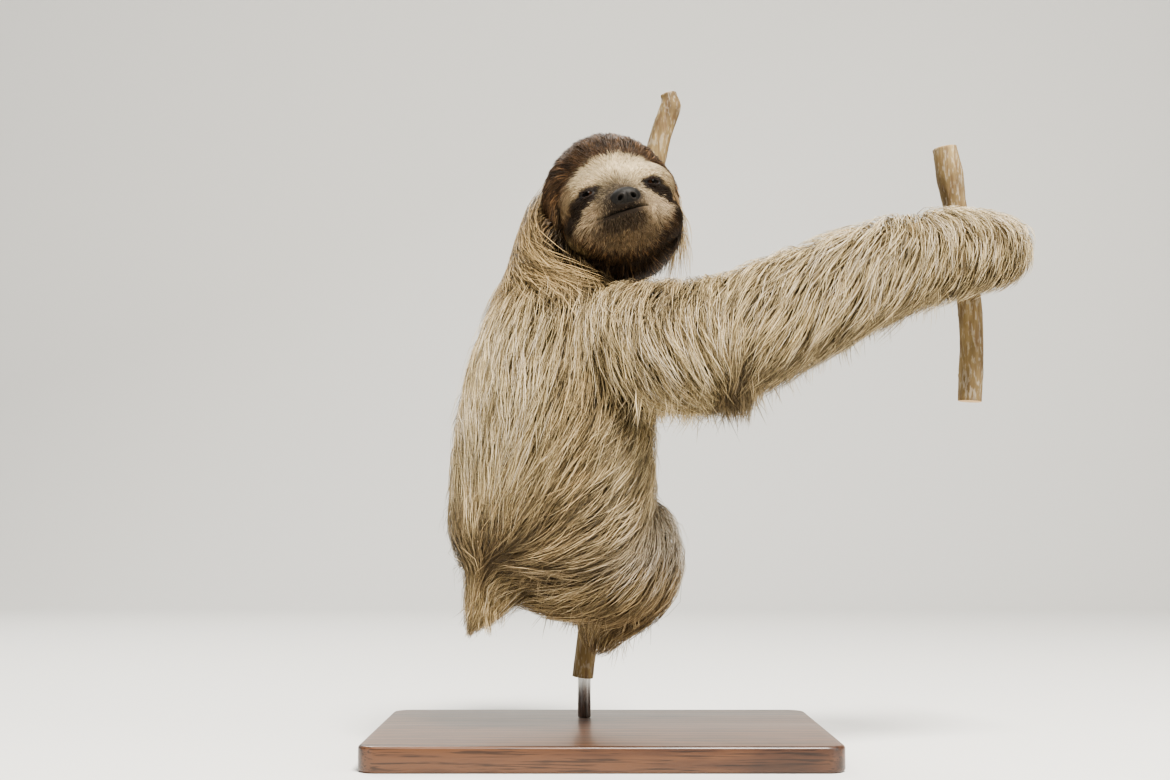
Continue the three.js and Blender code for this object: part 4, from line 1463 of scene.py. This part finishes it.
def drape(name, chosen, seed, count):
    """Locks laid along a family of paths, lifted just clear of the body."""
    random = np.random.default_rng(seed)
    rings = 6
    inward = random.random(count) ** 0.8
    begin = random.uniform(0, 0.4, count)
    finish = np.minimum(begin + random.uniform(0.45, 0.8, count), 1.12)
    share = np.linspace(0, 1, rings + 1)
    along = begin[:, None] + (finish - begin)[:, None] * share
    outer = np.stack([np.interp(along, mane_knots, mane_outer[:, k]) for k in range(3)], -1)
    inner = np.stack([np.interp(along, mane_knots, mane_inner[:, k]) for k in range(3)], -1)
    lines = outer * (1 - inward)[:, None, None] + inner * inward[:, None, None]
    shift = random.normal(0, 1, (count, 1, 3)) * (4.5, 5, 7)
    shift = shift + random.normal(0, 1, (count, 1, 3)) * 9 * share[:, None] ** 2
    wave = np.sin(share[:, None] * random.uniform(5, 11, (count, 1, 1)) + random.uniform(0, 6, (count, 1, 3)))
    lines = lines + shift + wave * random.uniform(0.4, 3.2, (count, 1, 1))
    clear = random.uniform(-2.5, 6.5, count)[:, None]
    clear = clear * np.interp(share, (0, 0.3, 0.75, 1), (0.0, 1.0, 1.0, 0.6))
    flat = lines.reshape(-1, 3)
    for _ in range(3):
        flat = flat - unit(slope.at(flat)) * (outline.at(flat) - clear.ravel())[:, None]
    lines = flat.reshape(count, rings + 1, 3)
    indices = np.flatnonzero(chosen)
    nearest_triangle = indices[nearest(triangle_middle[indices], lines[:, 0])]
    lines[:, 0] = press_head(triangle_middle[nearest_triangle])
    outward = unit(slope.at(lines[:, 2]))
    lines, clump = gather(lines, lines[:, 1].copy(), (0.2, 0.9), random)
    spots = unwrap(chosen)[nearest_triangle].mean(1)
    colours = np.array(mane_straw[:3]) * shades(count, clump, random, 0.8)[:, None]
    widths = top_width * random.uniform(*lock_girths, count)
    join_slivers(name, [slivers(lines, outward, widths, spots, colours)])


neck_zone = (of_part["neck"] | on_head) & (triangle_middle[:, 0] < 10) & (triangle_middle[:, 2] < 435)
neck_zone &= (triangle_head[:, 1] > 4) | (triangle_middle[:, 2] < 385)
drape("coat_mane", neck_zone, seed=301, count=2400)


def hang_strands(name, chosen, seed, count):
    """Thin strands rooted beside the far cheek: most hug the outline, the rest hang clear of it."""
    random = np.random.default_rng(seed)
    picked, shares, roots = sow(chosen, count, random)
    roots = press_head(roots)
    free = random.random((count, 1)) < free_share
    drop = random.uniform(26, 58, (count, 1))
    out = np.where(free, random.uniform(6, 17, (count, 1)), random.uniform(-4, 3, (count, 1)))
    fall = np.column_stack([out, random.uniform(-4, 4, count), -drop])
    bow = np.column_stack([random.uniform(2, 6, count), random.uniform(-3, 1, count),
                           random.uniform(0, 6, count)])
    share = np.linspace(0, 1, 8)[None, :, None]
    lines = roots[:, None] + fall[:, None] * share + bow[:, None] * np.sin(share * math.pi)
    wave = np.sin(share * random.uniform(5, 12, (count, 1, 1)) + random.uniform(0, 6, (count, 1, 3)))
    lines = lines + 0.8 * wave * share
    spots = (unwrap(chosen)[picked] * shares[:, :, None]).sum(1)
    colours = np.array(straw[:3]) * random.uniform(0.6, 1.4, count)[:, None]
    outward = np.tile(np.array([0.3, -1.0, 0]), (count, 1))
    widths = strand_width * random.uniform(0.7, 1.2, count)
    join_slivers(name, [slivers(lines, outward, widths, spots, colours)])


far_cheek = on_head & (triangle_head[:, 0] > 30) & (triangle_head[:, 1] > 4) & (triangle_head[:, 1] < 24)
far_cheek &= np.abs(triangle_head[:, 2] - 10) < 24
hang_strands("coat_loose_strands", far_cheek, seed=302, count=330)

# ---- Fringe ------------------------------------------------------------------------------------------
# Ragged hair that leaves the body and hangs: under the long arm, below the rump and the folded leg,
# and past the end of the short tail.


def grow_fringe(name, chosen, seed, count, shortest, longest, tangle, meeting=None, width=0.5):
    """Free-hanging locks from some of the hide's triangles, or drawn together to a meeting point."""
    random = np.random.default_rng(seed)
    rings = 5
    picked, shares, roots = sow(chosen, count, random)
    outward = unit(slope.at(roots))
    way = unit(lie.at(roots) + 0.45 * outward + random.normal(0, tangle, (count, 3)))
    lengths = random.uniform(shortest, longest, count)[:, None, None]
    if meeting is not None:
        to_point = meeting - roots
        lengths = np.linalg.norm(to_point, axis=1)[:, None, None] * random.uniform(0.55, 1.2, (count, 1, 1))
        way = unit(to_point + random.normal(0, 4, (count, 3)) + 3 * outward)
    share = np.linspace(0, 1, rings + 1)[None, :, None]
    sag = random.normal(0, tangle, (count, 1, 3)) * (1, 1, 0.3) + (0, 0, -0.35)
    course = way[:, None] * share * (1 - 0.3 * share) + sag * share ** 2
    lines = roots[:, None] - outward[:, None] * root_sunk + lengths * course
    lines, clump = gather(lines, roots, (0.1, 0.7), random)
    spots = (unwrap(chosen)[picked] * shares[:, :, None]).sum(1)
    seen = lines[:, 2] if meeting is None else lines[:, -2]
    colours = markings(seen) * shades(count, clump, random, 0.4)[:, None]
    widths = width * random.uniform(*lock_girths, count)
    join_slivers(name, [slivers(lines, outward, widths, spots, colours)])


elbow_hollow, elbow_tip = np.array([99.0, -82.0, 262.0]), np.array([97.0, -76.0, 243.0])
triangle_out = unit(slope.at(triangle_middle))
underside = triangle_out[:, 2] < -0.45
across, level = triangle_middle[:, 0], triangle_middle[:, 2]
long_arm = of_part["right_upper_arm"] | of_part["right_forearm"]
armpit = underside & of_part["right_upper_arm"] & (across > 20) & (across < 118)
elbow = long_arm & (triangle_out[:, 2] < 0) & (np.linalg.norm(triangle_middle - elbow_hollow, axis=1) < 27)
rump = of_part["trunk"] | of_part["right_thigh"] | of_part["right_shank"]
rump |= of_part["left_thigh"] | of_part["left_shank"]
grow_fringe("coat_arm_fringe", underside & long_arm & (across > 35), seed=401, count=1000,
            shortest=14, longest=30, tangle=0.2)
grow_fringe("coat_armpit_fringe", armpit, seed=405, count=620, shortest=16, longest=38, tangle=0.3, width=0.7)
grow_fringe("coat_elbow_tuft", elbow, seed=404, count=900, shortest=12, longest=30, tangle=0.05,
            meeting=elbow_tip)
grow_fringe("coat_rump_fringe", underside & (level < 150) & rump, seed=402, count=1100,
            shortest=16, longest=34, tangle=0.18)
grow_fringe("coat_tail_fringe", of_part["tail"] & (level < 132), seed=403, count=480,
            shortest=14, longest=27, tangle=0.14)

# ---- Studio --------------------------------------------------------------------------------------
# A sheet of pale paper that curves up from the floor into a backdrop, a soft key lamp high in front,
# and weaker lamps on the left, behind and low on the right.

lamp_aim = Vector((0.05, 0, 0.27))
pale_paper, tree, shader = start_material("pale paper")
shader.inputs["Base Color"].default_value = rgb(222, 221, 217)
shader.inputs["Roughness"].default_value = 0.9


def make_backdrop():
    """One long sheet of paper: flat floor, a round bend, and the wall behind."""
    bend = np.radians(np.linspace(0, 90, 24))
    profile = [(-3.0, 0.0), *[(2.2 + 0.9 * math.sin(a), 0.9 - 0.9 * math.cos(a)) for a in bend], (3.1, 4.5)]
    mesh = bpy.data.meshes.new("studio_paper")
    points = [(x, y, z) for y, z in profile for x in (-5.0, 5.0)]
    mesh.from_pydata(points, [], [(2 * k, 2 * k + 1, 2 * k + 3, 2 * k + 2) for k in range(len(profile) - 1)])
    mesh.shade_smooth()
    mesh.materials.append(pale_paper)
    put_in_scene("studio_paper", mesh)


def add_lamp(name, place, size, power, colour):
    """A square soft lamp that faces the middle of the model."""
    lamp = bpy.data.lights.new(name, "AREA")
    lamp.shape = "SQUARE"
    lamp.size = size
    lamp.energy = power
    lamp.color = colour
    holder = put_in_scene(name, lamp)
    holder.location = place
    holder.rotation_euler = (lamp_aim - Vector(place)).to_track_quat("-Z", "Y").to_euler()


make_backdrop()
add_lamp("key_lamp", (0.5, -1.3, 2.6), size=0.8, power=208, colour=(1.0, 0.96, 0.9))
add_lamp("fill_lamp", (-2.2, -1.8, 0.9), size=1.8, power=12, colour=(0.93, 0.96, 1.0))
add_lamp("rim_lamp", (-0.9, 1.5, 2.1), size=0.9, power=38, colour=(1.0, 0.99, 0.96))
add_lamp("side_lamp", (2.0, -1.1, 0.9), size=1.4, power=22, colour=(1.0, 0.97, 0.93))
world = bpy.data.worlds.new("studio")
world.use_nodes = True
room_light = world.node_tree.nodes["Background"]
room_light.inputs["Color"].default_value = (0.97, 0.97, 0.96, 1)
room_light.inputs["Strength"].default_value = 0.34
bpy.context.scene.world = world
bpy.context.scene.view_settings.look = "AgX - Medium High Contrast"
